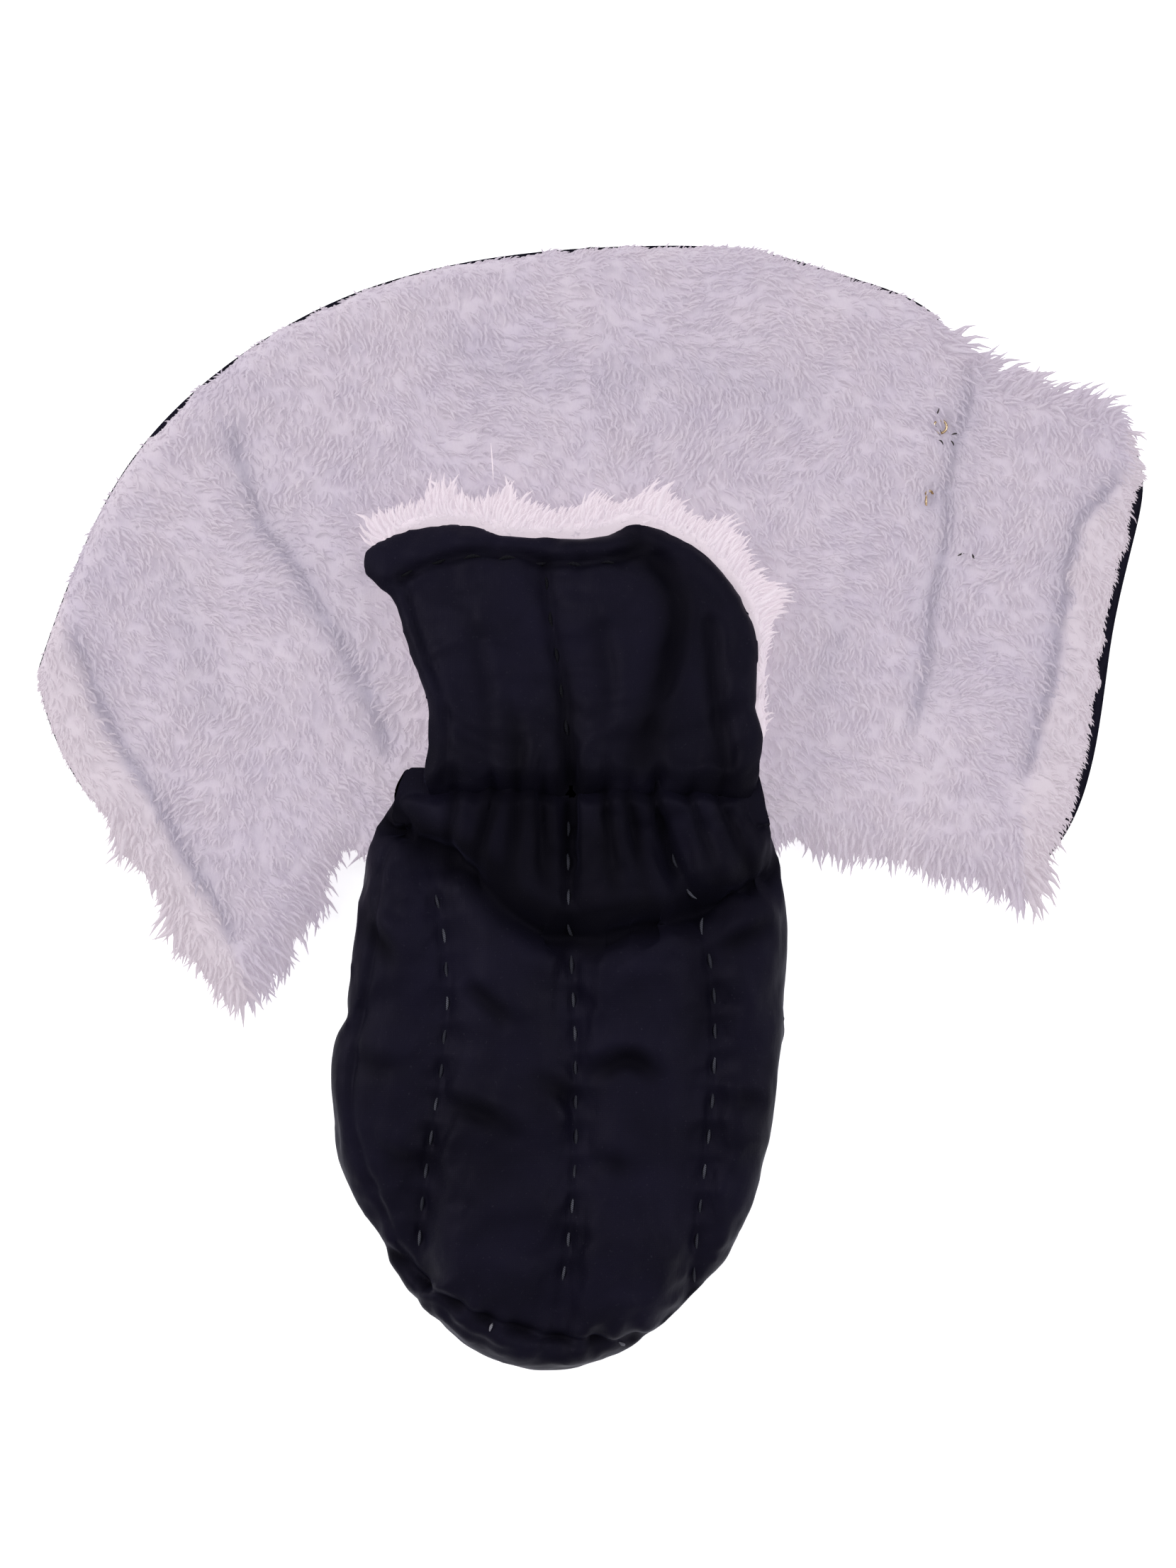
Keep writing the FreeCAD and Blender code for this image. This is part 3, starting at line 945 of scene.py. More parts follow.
def elastic_band():
    low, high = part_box("rim_elastic")
    runs = np.linspace(low.x, high.x, 320)
    profile = [(-1, -1), (-0.5, -1), (0, -1), (0.5, -1), (1, -1), (1, 1), (0.5, 1), (0, 1), (-0.5, 1), (-1, 1)]
    middle_y, half_width = (low.y + high.y) / 2, (high.y - low.y) / 2
    points = []
    for k, x in enumerate(runs):
        rib = 0.16 * MM * (k % 2) + 0.35 * MM * math.sin(x / (3.6 * MM))
        for across, up in profile:
            points.append((x, middle_y + across * half_width, ELASTIC_LEVEL + up * 0.5 * MM + rib))
    count = len(profile)
    faces = [(a * count + k, (a + 1) * count + k,
              (a + 1) * count + (k + 1) % count, a * count + (k + 1) % count)
             for a in range(len(runs) - 1) for k in range(count)]
    faces += [tuple(range(count)), tuple((len(runs) - 1) * count + k for k in reversed(range(count)))]
    return new_piece("rim_elastic_band", points, faces)


elastic_band_piece = elastic_band()
elastic_band_piece.data.materials.append(white_elastic)
print("lining has", len(crown_lining.data.polygons), "faces")

# %% [markdown]
# ## Mats
# The flaps are layered sheets whose outlines are read from the frame or drawn with a few points. A mat fills
# an outline with small squares, moves the outermost corners onto it, and closes an upper and a lower skin
# round the edge. Its two heights are functions of the place, so it can slope, swell and round off.

# %% Mats from an outline


def segments_of(loops):
    return np.vstack([np.stack([loop, np.roll(loop, -1, axis=0)], axis=1) for loop in loops])


def segment_distance(points, segments):
    """How far each point is from a set of short lines, and the nearest place on them."""
    best = np.full(len(points), FAR_OFF)
    nearest = np.zeros((len(points), 2))
    for a, b in segments:
        step = b - a
        t = np.clip((points - a) @ step / max(step @ step, 1e-18), 0, 1)
        foot = a + t[:, None] * step
        gap = np.linalg.norm(points - foot, axis=1)
        closer = gap < best
        best[closer] = gap[closer]
        nearest[closer] = foot[closer]
    return best, nearest


def mat(name, holds, segments, low, high, step, heights):
    """A closed mat. holds says which points are in, heights gives the lower and upper skin there."""
    xs = np.arange(low[0], high[0] + step, step)
    ys = np.arange(low[1], high[1] + step, step)
    across = len(xs)
    middles = np.array([(x, y) for y in ys[:-1] + step / 2 for x in xs[:-1] + step / 2])
    kept = holds(middles)
    squares = [(k // (across - 1) * across + k % (across - 1)) for k in np.flatnonzero(kept)]
    used = {}
    faces = []
    for corner in squares:
        ring = [corner, corner + 1, corner + across + 1, corner + across]
        faces.append([used.setdefault(c, len(used)) for c in ring])
    grid = np.array([(xs[c % across], ys[c // across]) for c in used])
    sides = {}
    for face in faces:
        for a, b in zip(face, face[1:] + face[:1]):
            if (b, a) in sides:
                del sides[b, a]
            else:
                sides[a, b] = True
    border = sorted({a for a, _ in sides})
    grid[border] = segment_distance(grid[border], segments)[1]
    lower, upper = heights(grid)
    count = len(grid)
    points = np.vstack([np.column_stack([grid, upper]), np.column_stack([grid, lower])])
    made = [tuple(f) for f in faces] + [tuple(count + i for i in reversed(f)) for f in faces]
    made += [(b, a, count + a, count + b) for a, b in sides]
    return new_piece(name, points, made, outward=False)


# %% [markdown]
# ## The brow flap
# The gathered rim rolls over into the brow flap, a padded rectangle of the same navy cloth that lies turned
# up over the neck panel, with its fleece face down. Its fleece rolls out past the top and right edges.
# The flap is pinned along its hem, its centre seam and the rim, and swelled with the same cloth pressure.

# %% Brow flap form
BROW_TOP_LINE = [(-79, 88), (-67, 93.5), (-53, 96.5), (-41, 96), (-29, 92.5), (-6, 92), (7, 94), (17, 97.5),
                 (33, 91), (43, 84), (52, 71.5), (57, 60), (57.5, 47), (57, 35), (59.5, 23), (58, 13), (55, 1),
                 (30, -1), (0, -0.5), (-30, -1)]
BROW_LEFT_LINE = [(-56, 1), (-57.5, 11), (-56, 21), (-57, 35), (-63, 53), (-68, 69), (-73, 74), (-79, 80)]
HEM = curve_mm([(-66, 78), (-54, 83.5), (-41, 86.5), (-25, 86.5), (-15, 84), (2, 84), (16, 87)])
CENTRE_SEAM = curve_mm([(-16, 85), (-14, 62), (-10.5, 45), (-8, 23), (-7, 2)])
SIDE_FOLD = curve_mm([(-64, 76), (-58, 56), (-51, 36), (-50, 20), (-52, 6)])
# each crease is its line, then its depth, its width, how much painted shade darkens it and how wide that
# painted shade is, in millimetres
BROW_CREASES = [
    ([(18, 91), (27.5, 78.5), (31, 64), (26.5, 43), (21, 23), (17, 7.5)], 3.4, 3.4, 1.0, 6.5),
    ([(42, 62), (44, 38.5), (46.5, 17.5), (47.5, 4)], 3.4, 3.4, 0.6, 3.5),
    ([(-40, 60), (-36, 40), (-34, 18)], 1.4, 2.8, 0.3, 4),
    ([(-26, 30), (-24, 16), (-25, 5)], 1.4, 2.8, 0.6, 4),
    ([(4, 60), (7, 40), (5, 24)], 1.4, 2.8, 0.3, 4)]
BROW_ROUND = 5 * MM
brow_slope = (brow_high.z - brow_low.z) / (brow_high.y - brow_low.y)


def brow_level(y):
    """Height of the flap's upper face at rest: level over the rim, then down towards the neck panel."""
    return brow_high.z - brow_slope * np.maximum(y - brow_low.y, 0)


def brow_shape():
    return resampled(np.vstack([curve_mm(BROW_TOP_LINE), curve_mm(BROW_LEFT_LINE)]), 2 * MM)


brow_loop = brow_shape()


def brow_heights(grid):
    edge, _ = segment_distance(grid, segments_of([brow_loop]))
    round_off = rounded(edge, BROW_ROUND)
    top = brow_level(grid[:, 1]) - 2.0 * MM
    return top - 2.5 * MM - 2.2 * MM * round_off, top - 3.5 * MM + 3.5 * MM * round_off


def brow_form():
    piece = mat("brow_flap_cloth", lambda p: inside(p, brow_loop), segments_of([brow_loop]),
                brow_loop.min(0), brow_loop.max(0), 2.6 * MM, brow_heights)
    places = places_of(piece)
    flat = places[:, :2]
    lower = normals_of(piece)[:, 2] < 0
    pins = np.where(lower | (flat[:, 1] < 6 * MM), 1.0, 0.0)
    for line in (HEM, CENTRE_SEAM):
        pins = np.maximum(pins, np.where(line_distance(flat, line)[0] < 1.8 * MM, 1.0, 0.0))
    inflate(piece, pins, SWELL_PRESSURE, SWELL_EXTRA, 6 * MM)
    return refine(piece, 1)


def brow_relief(piece):
    places = places_of(piece)
    flat = places[:, :2]
    normals = normals_of(piece)
    top = soft(0.0, 0.5, normals[:, 2])
    move = lumps(places, (0.9, 26, 21, EVEN), (0.5, 11, 22, (1, 0.5, 1)))
    _, nearest, along = line_distance(flat, HEM)
    side = side_of(flat, nearest)
    # painted shade: dark is how much the cloth's colour is darkened, along the hem, more towards the rim, along
    # the centre seam and in the creases
    dark = 0.7 * bump_at(side, 3 * MM) + 0.55 * soft(40 * MM, 8 * MM, flat[:, 1])
    dark = dark + 0.3 * noise(places, 20 * MM, 25)
    wave = np.sin(along / (2.4 * MM) + 1.5 * noise(places, 9 * MM, 24))
    move -= 2.3 * bump_at(side, 1.7 * MM) + 0.7 * wave * bump_at(side, 5.5 * MM)
    move += 1.0 * bump_at(side - 5 * MM, 3 * MM)
    gap = line_distance(flat, CENTRE_SEAM)[0]
    move -= 1.9 * bump_at(gap, 1.6 * MM) + 1.2 * bump_at(gap, 6 * MM)
    dark += (0.4 + 0.5 * soft(70 * MM, 20 * MM, flat[:, 1])) * bump_at(gap, 4 * MM)
    gap = line_distance(flat, SIDE_FOLD)[0]
    move -= 1.8 * bump_at(gap, 1.5 * MM)
    for crease, depth, width, darkness, dark_width in BROW_CREASES:
        gap, nearest, along = line_distance(flat, curve_mm(crease))
        side = np.where(flat[:, 0] > nearest[:, 0], 1, -1) * gap
        taper = np.sin(np.pi * np.clip(along / along.max() * 0.8 + 0.2, 0, 1)) ** 0.5
        move -= depth * taper * bump_at(side, width * MM)
        dark += darkness * taper * bump_at(side + 1 * MM, dark_width * MM)
        move += 0.8 * taper * bump_at(side - 5 * MM, 4 * MM)
    for x, slant, weight in PLEATS:
        centre = x * MM - slant * 0.5 * (flat[:, 1] - GATHER_Y)
        fade = soft(26 * MM, 4 * MM, flat[:, 1])
        move -= 2.6 * weight * fade * bump_at(flat[:, 0] - centre, 2.0 * MM)
        move += 1.0 * weight * fade * bump_at(flat[:, 0] - centre - 4.5 * MM, 2.6 * MM)
    put_attribute(piece, "deep", np.clip(dark * soft(-0.3, 0.2, normals[:, 2]), 0, 1))
    places += normals * (move * top * MM)[:, None]
    gathers = 0.8 * np.sin(places[:, 0] / (2.3 * MM) + 2 * noise(places * [1, 0, 0], 15 * MM, 15))
    start = places[:, 1] + 2.5 * MM * noise(places * [1, 0, 0], 8 * MM, 26)
    places[:, 2] -= (7.0 + top * gathers) * MM * soft(13 * MM, 0 * MM, start)
    over_elastic = (top > 0.2) & (places[:, 1] < 16 * MM)
    places[over_elastic, 2] = np.maximum(places[over_elastic, 2], CASING_SKIN)
    put_places(piece, places)


brow_cloth = brow_form()
brow_relief(brow_cloth)
brow_cloth.data.materials.append(navy)
print("brow flap has", len(brow_cloth.data.polygons), "faces")

# %% [markdown]
# ## The neck panel and the ear flaps
# The panel and both ear flaps are one spread of fleece over navy cloth. Their outline is put together from
# the frame's three shells, without the folds between them. The spread is built as a left and a right half,
# which meet in the middle, with one of the two folds in each half.

# %% One outline for the whole spread


def fold_of(name):
    """A fold as a long line on the table, and the direction across it, away from the neck panel."""
    joint = joints[name]
    at = np.array(joint["pos_m"], float)[:2]
    along = np.array(joint["axis"], float)[:2]
    along /= np.linalg.norm(along)
    across = np.array([-along[1], along[0]])
    if across[0] * at[0] < 0:
        across = -across
    middle = at + along * ((60 * MM - at[1]) / along[1])
    return np.array([middle - along * 0.3, middle + along * 0.3]), middle, across


left_fold, left_middle, left_out = fold_of("left_ear_fold")
right_fold, right_middle, right_out = fold_of("right_ear_fold")


def joined_outline(loops):
    runs = []
    for loop in loops:
        gap = np.minimum(line_distance(loop, left_fold)[0], line_distance(loop, right_fold)[0])
        on_fold = gap < 1 * MM
        start = next(i for i in range(len(loop)) if on_fold[i] and not on_fold[(i + 1) % len(loop)])
        loop, on_fold = np.roll(loop, -start, axis=0), np.roll(on_fold, -start)
        run = [loop[0]]
        for point, flag in zip(loop[1:], on_fold[1:]):
            run.append(point)
            if flag:
                if len(run) > 3:
                    runs.append(run)
                run = [point]
        if len(run) > 3:
            runs.append([*run, loop[0]])
    chain = list(runs.pop(0))
    while runs:
        nearest = min(runs, key=lambda run: np.linalg.norm(run[0] - chain[-1]))
        runs = [run for run in runs if run is not nearest]
        chain += nearest
    return resampled(np.array(chain), 2.5 * MM)


fan_loop = joined_outline([outline_of(f"{part}_shell") for part in ("left_ear", "neck", "right_ear")])
at_crown = (line_distance(fan_loop, crown_loop, True)[0] < 4 * MM) | (
    (fan_loop[:, 1] < RIM_Y + 2 * MM) & (np.abs(fan_loop[:, 0]) < 62 * MM))
under_crown = at_crown & (fan_loop[:, 1] < RIM_Y - 2 * MM)
bare_right = (fan_loop[:, 0] > 165 * MM) & (fan_loop[:, 1] < 112 * MM)
bare_top = fan_loop[:, 1] > 120 * MM
ragged = noise(flat_points(fan_loop), 7 * MM, 39)
fleece_inset = np.where(bare_right, 3.6 + 1.4 * ragged, np.where(bare_top, 0.9 + 1.1 * ragged, 0.5)) * MM
SPIKY = [(148, 146, 20), (172, 134, 18), (-112, -56, 22), (-96, -34, 16), (-128, -72, 16),
         (150, -34, 20), (120, -26, 20), (86, -16, 12), (-168, -12, 10), (-150, -40, 14), (128, 160, 8)]
tufty = np.max([bump_at(np.linalg.norm(fan_loop - [x * MM, y * MM], axis=1), 1.2 * size * MM)
                for x, y, size in SPIKY], axis=0)
tufty[at_crown] = 0
fleece_loop = drawn_in(fan_loop, (fleece_inset + 3.2 * MM * tufty)[:, None])
shell_loop = drawn_in(fan_loop, 4.6 * MM * tufty[:, None])
fleece_loop[at_crown] = fan_loop[at_crown]
fleece_loop[under_crown] = drawn_in(fan_loop, -3 * MM)[under_crown]
outer_edges = np.array([pair for pair, near in zip(segments_of([fleece_loop]), at_crown) if not near])
print("outline has", len(fan_loop), "points,", int(at_crown.sum()), "of them beside the crown")

# %% [markdown]
# The fleece is a thick mat with a rounded edge. Its face has soft lumps, deep creases where the pieces are
# sewn together and where the front edges are turned over, and two small partings round the hook and ring.

# %% Lie of the fleece
PILE_STEP = 4 * MM
MAT_ROUND = 9 * MM
# each crease is its line, how deep it is and how wide, in millimetres
# the third and the fourth are where the front edges turn over
CREASES = [
    ([(-131, 140), (-125, 125), (-117, 98), (-106.5, 85), (-94, 65), (-87, 55), (-76, 31), (-70, 10)],
     4.6, 3.0),
    ([(134, 160), (133, 141), (127, 117), (126, 94), (120.5, 68), (118.5, 46.5), (112, 20)], 4.2, 2.4),
    ([(-186, 66), (-181, 53), (-174.5, 35), (-165.5, 17.5), (-152, -2), (-143, -20), (-131, -40), (-124, -56)],
     5.0, 2.8),
    ([(188, 122), (183, 111), (172, 97), (168, 76.5), (164.5, 53.5), (159, 28), (152, 4)], 4.6, 2.6),
    ([(95, 70), (84, 50), (78, 28)], 1.6, 4.0),
    ([(-150, 92), (-142, 60), (-128, 20)], 1.4, 5.0),
    ([(-60, 168), (-20, 150), (40, 152), (90, 136)], 1.3, 6.0),
]
RIDGES = [([(95.5, 97), (87, 82), (72, 62), (63, 40)], 1.8, 5.0),
          ([(-100, 112), (-90, 92), (-84, 74)], 1.6, 6.0)]
ring_middle = (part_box("hook_ring")[0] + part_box("hook_ring")[1]) / 2
wire_middle = (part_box("hook_wire")[0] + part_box("hook_wire")[1]) / 2


def crease_depth(grid):
    total = np.zeros(len(grid))
    for line, depth, width in CREASES:
        gap, _, along = line_distance(grid, curve_mm(line, PILE_STEP))
        taper = soft(0, 14 * MM, along) * soft(0, 14 * MM, along.max() - along)
        total += taper * depth * (0.7 * bump_at(gap, width * MM) + 0.3 * bump_at(gap, 3 * width * MM))
    return total


def turned_edge_highlight(grid):
    """1 on the two front edges that are folded over, which the fleece finish paints brighter as painted
    highlight, and 0 elsewhere.
    """
    total = np.zeros(len(grid))
    for side, (line, _, _) in ((-1, CREASES[2]), (1, CREASES[3])):
        gap, nearest, _ = line_distance(grid, curve_mm(line, PILE_STEP))
        beyond = np.where((grid[:, 0] - nearest[:, 0]) * side > 0, gap, -gap)
        total += soft(0, 5 * MM, beyond + 2 * MM * noise(np.column_stack([grid, gap]), 9 * MM, 40))
    return np.minimum(total, 1)


def parting(grid):
    ring = np.linalg.norm(grid - np.array(ring_middle[:2]), axis=1)
    wire = np.linalg.norm(grid - np.array(wire_middle[:2]), axis=1)
    return np.minimum(1, bump_at(ring, 4.6 * MM) + bump_at(wire, 4.6 * MM))


def fleece_heights(grid):
    flat = flat_points(grid)
    edge = segment_distance(grid, outer_edges)[0]
    round_off = rounded(edge, MAT_ROUND)
    pile = lumps(flat, (1.0, 30, 31, EVEN), (0.6, 12, 32, EVEN), (0.45, 6, 33, EVEN))
    warp = np.column_stack([noise(flat, 9 * MM, 36), noise(flat, 9 * MM, 37), np.zeros(len(grid))])
    pile += 0.8 * noise(flat + warp * 4 * MM, 7 * MM, 38) + 0.45 * noise(flat + warp * 3 * MM, 3.6 * MM, 35)
    pile -= crease_depth(grid) * (1 + 0.25 * noise(flat, 9 * MM, 34))
    for line, height, width in RIDGES:
        gap = line_distance(grid, curve_mm(line, PILE_STEP))[0]
        pile += height * bump_at(gap, width * MM)
    pile -= 6.0 * parting(grid)
    top = PANEL_TOP - 2.6 * MM + pile * MM * round_off
    lower = np.full(len(grid), 1.3 * MM)
    return lower, lower + 0.6 * MM + (top - 1.9 * MM) * round_off


MIDLINE = np.array([[(0, 0), (0, 0.25)]])
SPREAD_REACH = 0.2
SPREAD_LOW, SPREAD_HIGH = -0.09, 0.205
MAT_STEP = 1.5 * MM
SHELL_STEP = 3 * MM
CRISP_ANGLE = 0.8


def half_spread(name, side, loop, step, heights):
    """One half of the spread. side is -1 for the left and 1 for the right. Its wall at the middle is crisp."""
    reach = math.ceil(SPREAD_REACH / step) * step
    low = (-reach if side < 0 else 0, SPREAD_LOW)
    high = (0 if side < 0 else reach, SPREAD_HIGH)
    segments = np.vstack([segments_of([loop]), MIDLINE])
    piece = mat(name, lambda p: inside(p, loop) & (p[:, 0] * side > 0), segments, low, high, step, heights)
    shape = bmesh.new()
    shape.from_mesh(piece.data)
    for edge in shape.edges:
        at_midline = all(abs(vert.co.x) < 0.05 * MM for vert in edge.verts)
        edge.smooth = not (at_midline and edge.calc_face_angle(0) > CRISP_ANGLE)
    shape.to_mesh(piece.data)
    shape.free()
    return piece


left_fleece = half_spread("left_fleece", -1, fleece_loop, MAT_STEP, fleece_heights)
right_fleece = half_spread("right_fleece", 1, fleece_loop, MAT_STEP, fleece_heights)


def shell_heights(grid):
    flat = flat_points(grid)
    wave = 0.25 * MM * (1 + noise(flat, 14 * MM, 41))
    return 0.05 * MM + wave * 0.3, 0.95 * MM + wave


left_shell = half_spread("left_shell", -1, shell_loop, SHELL_STEP, shell_heights)
right_shell = half_spread("right_shell", 1, shell_loop, SHELL_STEP, shell_heights)
for shell in (left_shell, right_shell):
    put_even(shell, deep=0)
    shell.data.materials.append(navy)
print("fleece mats have", len(left_fleece.data.polygons), "and", len(right_fleece.data.polygons), "faces")

# %% [markdown]
# The brow flap's own fleece lies face down under its navy cloth, so that only the part that rolls out past
# the top and right edges is seen.

# %% Fleece under the brow flap
BROW_FLEECE_LINE = [(-54, 14), (-54, 34), (-61, 56), (-68, 78), (-74, 93), (-56, 104), (-42, 104), (-20, 100),
                    (0, 100.5), (17, 104), (35, 97.5), (47, 89), (56.5, 77), (61, 64), (61, 48), (60.5, 34),
                    (61, 24), (56, 14)]
brow_fleece_loop = resampled(curve_mm(BROW_FLEECE_LINE), 2 * MM)


def brow_fleece_heights(grid):
    flat = flat_points(grid)
    edge = segment_distance(grid, segments_of([brow_fleece_loop]))[0]
    cloth = segment_distance(grid, segments_of([brow_loop]))[0]
    outside = np.where(inside(grid, brow_loop), 0, cloth)
    round_off = rounded(edge, BROW_ROUND)
    level = brow_level(grid[:, 1]) - 8.6 * MM
    soft_lumps = 0.9 * MM * noise(flat, 9 * MM, 51) * round_off
    lower = np.maximum(level - 5 * MM, PANEL_TOP + 0.6 * MM)
    middle = (lower + level) / 2
    roll = 6.4 * MM * soft(-1 * MM, 5 * MM, outside)
    return middle + (lower - middle) * round_off, middle + (level + roll + soft_lumps - middle) * round_off


brow_fleece = mat("brow_fleece_mat", lambda p: inside(p, brow_fleece_loop), segments_of([brow_fleece_loop]),
                  brow_fleece_loop.min(0), brow_fleece_loop.max(0), 1.6 * MM, brow_fleece_heights)
print("brow fleece has", len(brow_fleece.data.polygons), "faces")

# %% [markdown]
# ## Locks of pile
# Pile is the same small thing thousands of times over, which is work for Geometry Nodes. One tree bends a
# thin tapering lock, scatters it over a mat, lays each one along the nap that the mat carries, and varies
# its size and turn. This small class makes such a tree with named inputs.

# %% Geometry trees


class Growth:
    """A Geometry Nodes tree with named inputs, and the helpers that fill and use it."""

    def __init__(self, name, **inputs):
        self.tree = bpy.data.node_groups.new(name, "GeometryNodeTree")
        face = self.tree.interface
        face.new_socket("Geometry", in_out="INPUT", socket_type="NodeSocketGeometry")
        face.new_socket("Geometry", in_out="OUTPUT", socket_type="NodeSocketGeometry")
        for key, kind in inputs.items():
            face.new_socket(key, in_out="INPUT", socket_type=f"NodeSocket{kind}")
        self.given = self.tree.nodes.new("NodeGroupInput").outputs
        self.out = self.tree.nodes.new("NodeGroupOutput")

    def add(self, kind, settings, inputs, output=0):
        node = self.tree.nodes.new(kind)
        for key, value in settings.items():
            setattr(node, key, value)
        for key, value in inputs.items():
            if isinstance(value, bpy.types.NodeSocket):
                self.tree.links.new(value, node.inputs[key])
            else:
                node.inputs[key].default_value = value
        return node.outputs[output]

    def named(self, name, kind="FLOAT"):
        return self.add("GeometryNodeInputNamedAttribute", {"data_type": kind}, {"Name": name}, "Attribute")

    def random(self, low, high, seed):
        return self.add("FunctionNodeRandomValue", {"data_type": "FLOAT"}, {2: low, 3: high, "Seed": seed}, 1)

    def random_vector(self, reach, seed):
        return self.add("FunctionNodeRandomValue", {"data_type": "FLOAT_VECTOR"},
                        {0: (-reach,) * 3, 1: (reach,) * 3, "Seed": seed}, 0)

    def maths(self, operation, first, second):
        return self.add("ShaderNodeMath", {"operation": operation}, {0: first, 1: second})

    def vector(self, operation, first, second):
        return self.add("ShaderNodeVectorMath", {"operation": operation}, {0: first, 1: second})

    def close(self, geometry, material):
        real = self.add("GeometryNodeRealizeInstances", {}, {"Geometry": geometry})
        done = self.add("GeometryNodeSetMaterial", {}, {"Geometry": real, "Material": material})
        self.tree.links.new(done, self.out.inputs[0])

    def grow(self, name, source, **values):
        """Runs the tree on a copy of a mesh, and keeps the result, above the table, as a plain mesh."""
        piece = bpy.data.objects.new(name, source.copy())
        bpy.context.scene.collection.objects.link(piece)
        step = piece.modifiers.new(name, "NODES")
        step.node_group = self.tree
        for item in self.tree.interface.items_tree:
            if item.in_out == "INPUT" and item.name in values:
                step[item.identifier] = values[item.name]
        bake(piece)
        places = places_of(piece)
        places[:, 2] = np.maximum(places[:, 2], 0.1 * MM)
        put_places(piece, places)
        print(name, "has", len(piece.data.polygons), "faces")
        return piece


BEND_AT = 0.55  # how far along a lock its bend lies
BEND_RISE = 0.8
TIP_TAPER = 0.95
ROLL = 1.3
SHORTEST, LONGEST = 0.65, 1.3


def lock_tree():
    made = Growth("pile_locks", Density="Float", Length="Float", Width="Float", Curl="Float", Stray="Float",
                  Taper="Float", Seed="Int", Material="Material")
    given = made.given
    end = made.add("ShaderNodeCombineXYZ", {}, {"X": given["Length"], "Y": 0.0, "Z": 0.0})
    half = made.maths("MULTIPLY", given["Length"], BEND_AT)
    middle = made.add("ShaderNodeCombineXYZ", {}, {"X": half, "Y": given["Curl"],
                                                   "Z": made.maths("MULTIPLY", given["Curl"], BEND_RISE)})
    spine = made.add("GeometryNodeCurveQuadraticBezier", {}, {
        "Resolution": 2, "Start": (0.0, 0.0, 0.0), "Middle": middle, "End": end})
    run = made.add("GeometryNodeSplineParameter", {}, {}, "Factor")
    narrowing = made.maths("MULTIPLY", made.maths("POWER", run, given["Taper"]), TIP_TAPER)
    taper = made.maths("SUBTRACT", 1.0, narrowing)
    # painted shade: this runs from 1 at a lock's root to 0 at its tip, and the fleece finish darkens the roots
    # with it
    spine = made.add("GeometryNodeStoreNamedAttribute", {"data_type": "FLOAT", "domain": "POINT"}, {
        "Geometry": spine, "Name": "depth", "Value": made.maths("SUBTRACT", 1.0, run)})
    ring = made.add("GeometryNodeCurvePrimitiveCircle", {}, {
        "Resolution": 3, "Radius": given["Width"]}, "Curve")
    lock = made.add("GeometryNodeCurveToMesh", {}, {
        "Curve": spine, "Profile Curve": ring, "Scale": taper, "Fill Caps": True})
    lock = made.add("GeometryNodeSetShadeSmooth", {}, {"Geometry": lock, "Shade Smooth": True})
    scatter = made.add("GeometryNodeDistributePointsOnFaces", {}, {
        "Mesh": given["Geometry"], "Seed": given["Seed"],
        "Density": made.maths("MULTIPLY", made.named("thick"), given["Density"])}, "Points")
    stray = made.add("ShaderNodeVectorMath", {"operation": "SCALE"}, {
        0: made.random_vector(1.0, 3), "Scale": given["Stray"]})
    nap = made.vector("ADD", made.named("nap", "FLOAT_VECTOR"), stray)
    turned = made.add("FunctionNodeAlignRotationToVector", {"axis": "X"}, {"Vector": nap})
    roll = made.add("ShaderNodeCombineXYZ", {}, {"X": made.random(-ROLL, ROLL, 5), "Y": 0.0, "Z": 0.0})
    turned = made.add("FunctionNodeRotateRotation", {"rotation_space": "LOCAL"}, {
        "Rotation": turned, "Rotate By": made.add("FunctionNodeEulerToRotation", {}, {"Euler": roll})})
    size = made.maths("MULTIPLY", made.named("reach"), made.random(SHORTEST, LONGEST, 7))
    placed = made.add("GeometryNodeInstanceOnPoints", {}, {
        "Points": scatter, "Instance": lock, "Rotation": turned, "Scale": size})
    made.close(placed, given["Material"])
    return made


pile_locks = lock_tree()

# %% [markdown]
# Each mat carries what the tree reads: which way the nap lies, how thick the locks stand and how long they
# are. The nap wanders over the panel, points outwards at the edges, and parts round the hook and ring.

# %% The nap


def lay_nap(piece, edges, base_turn, edge_width, seed, lift=0.16, spiky=(), edge_length=0.45):
    places = places_of(piece)
    flat = places[:, :2]
    normals = normals_of(piece)
    gap, nearest = segment_distance(flat, edges)
    turn = base_turn + 1.3 * noise(places, 42 * MM, seed) + 0.9 * noise(places, 14 * MM, seed + 1)
    nap = np.column_stack([np.cos(turn), np.sin(turn), np.full(len(turn), lift)])
    middle = flat.mean(0)
    outward = nearest - flat
    near_edge = gap < 0.6 * MM
    outward[near_edge] = (flat - middle)[near_edge]
    outward /= np.maximum(np.linalg.norm(outward, axis=1, keepdims=True), 1e-9)
    bristle = np.zeros(len(flat))
    for x, y, size in spiky:
        bristle = np.maximum(bristle, bump_at(np.linalg.norm(flat - [x * MM, y * MM], axis=1), size * MM))
    pull = bump_at(gap, edge_width) * (0.6 + 1.4 * bristle if len(spiky) else 1.5)
    nap[:, :2] += outward * pull[:, None]
    nap += normals * 0.12
    reach = 1 + 0.22 * noise(places, 11 * MM, seed + 2)
    reach *= 1 - (1 - edge_length) * bump_at(gap, 4 * MM) * (1 - bristle)
    reach += 0.5 * bristle * bump_at(gap, 5 * MM) * (1 + 0.5 * noise(places, 4 * MM, seed + 3))
    patches = soft(-0.5, 0.6, noise(places, 18 * MM, seed + 4))
    thick = soft(-0.7, 0.1, normals[:, 2]) * (0.45 + 0.35 * patches + 0.5 * bump_at(gap, 6 * MM))
    put_attribute(piece, "bristle", bristle * bump_at(gap, 3.5 * MM))
    put_attribute(piece, "nap", nap)
    put_attribute(piece, "reach", reach)
    put_attribute(piece, "thick", thick)
    return flat


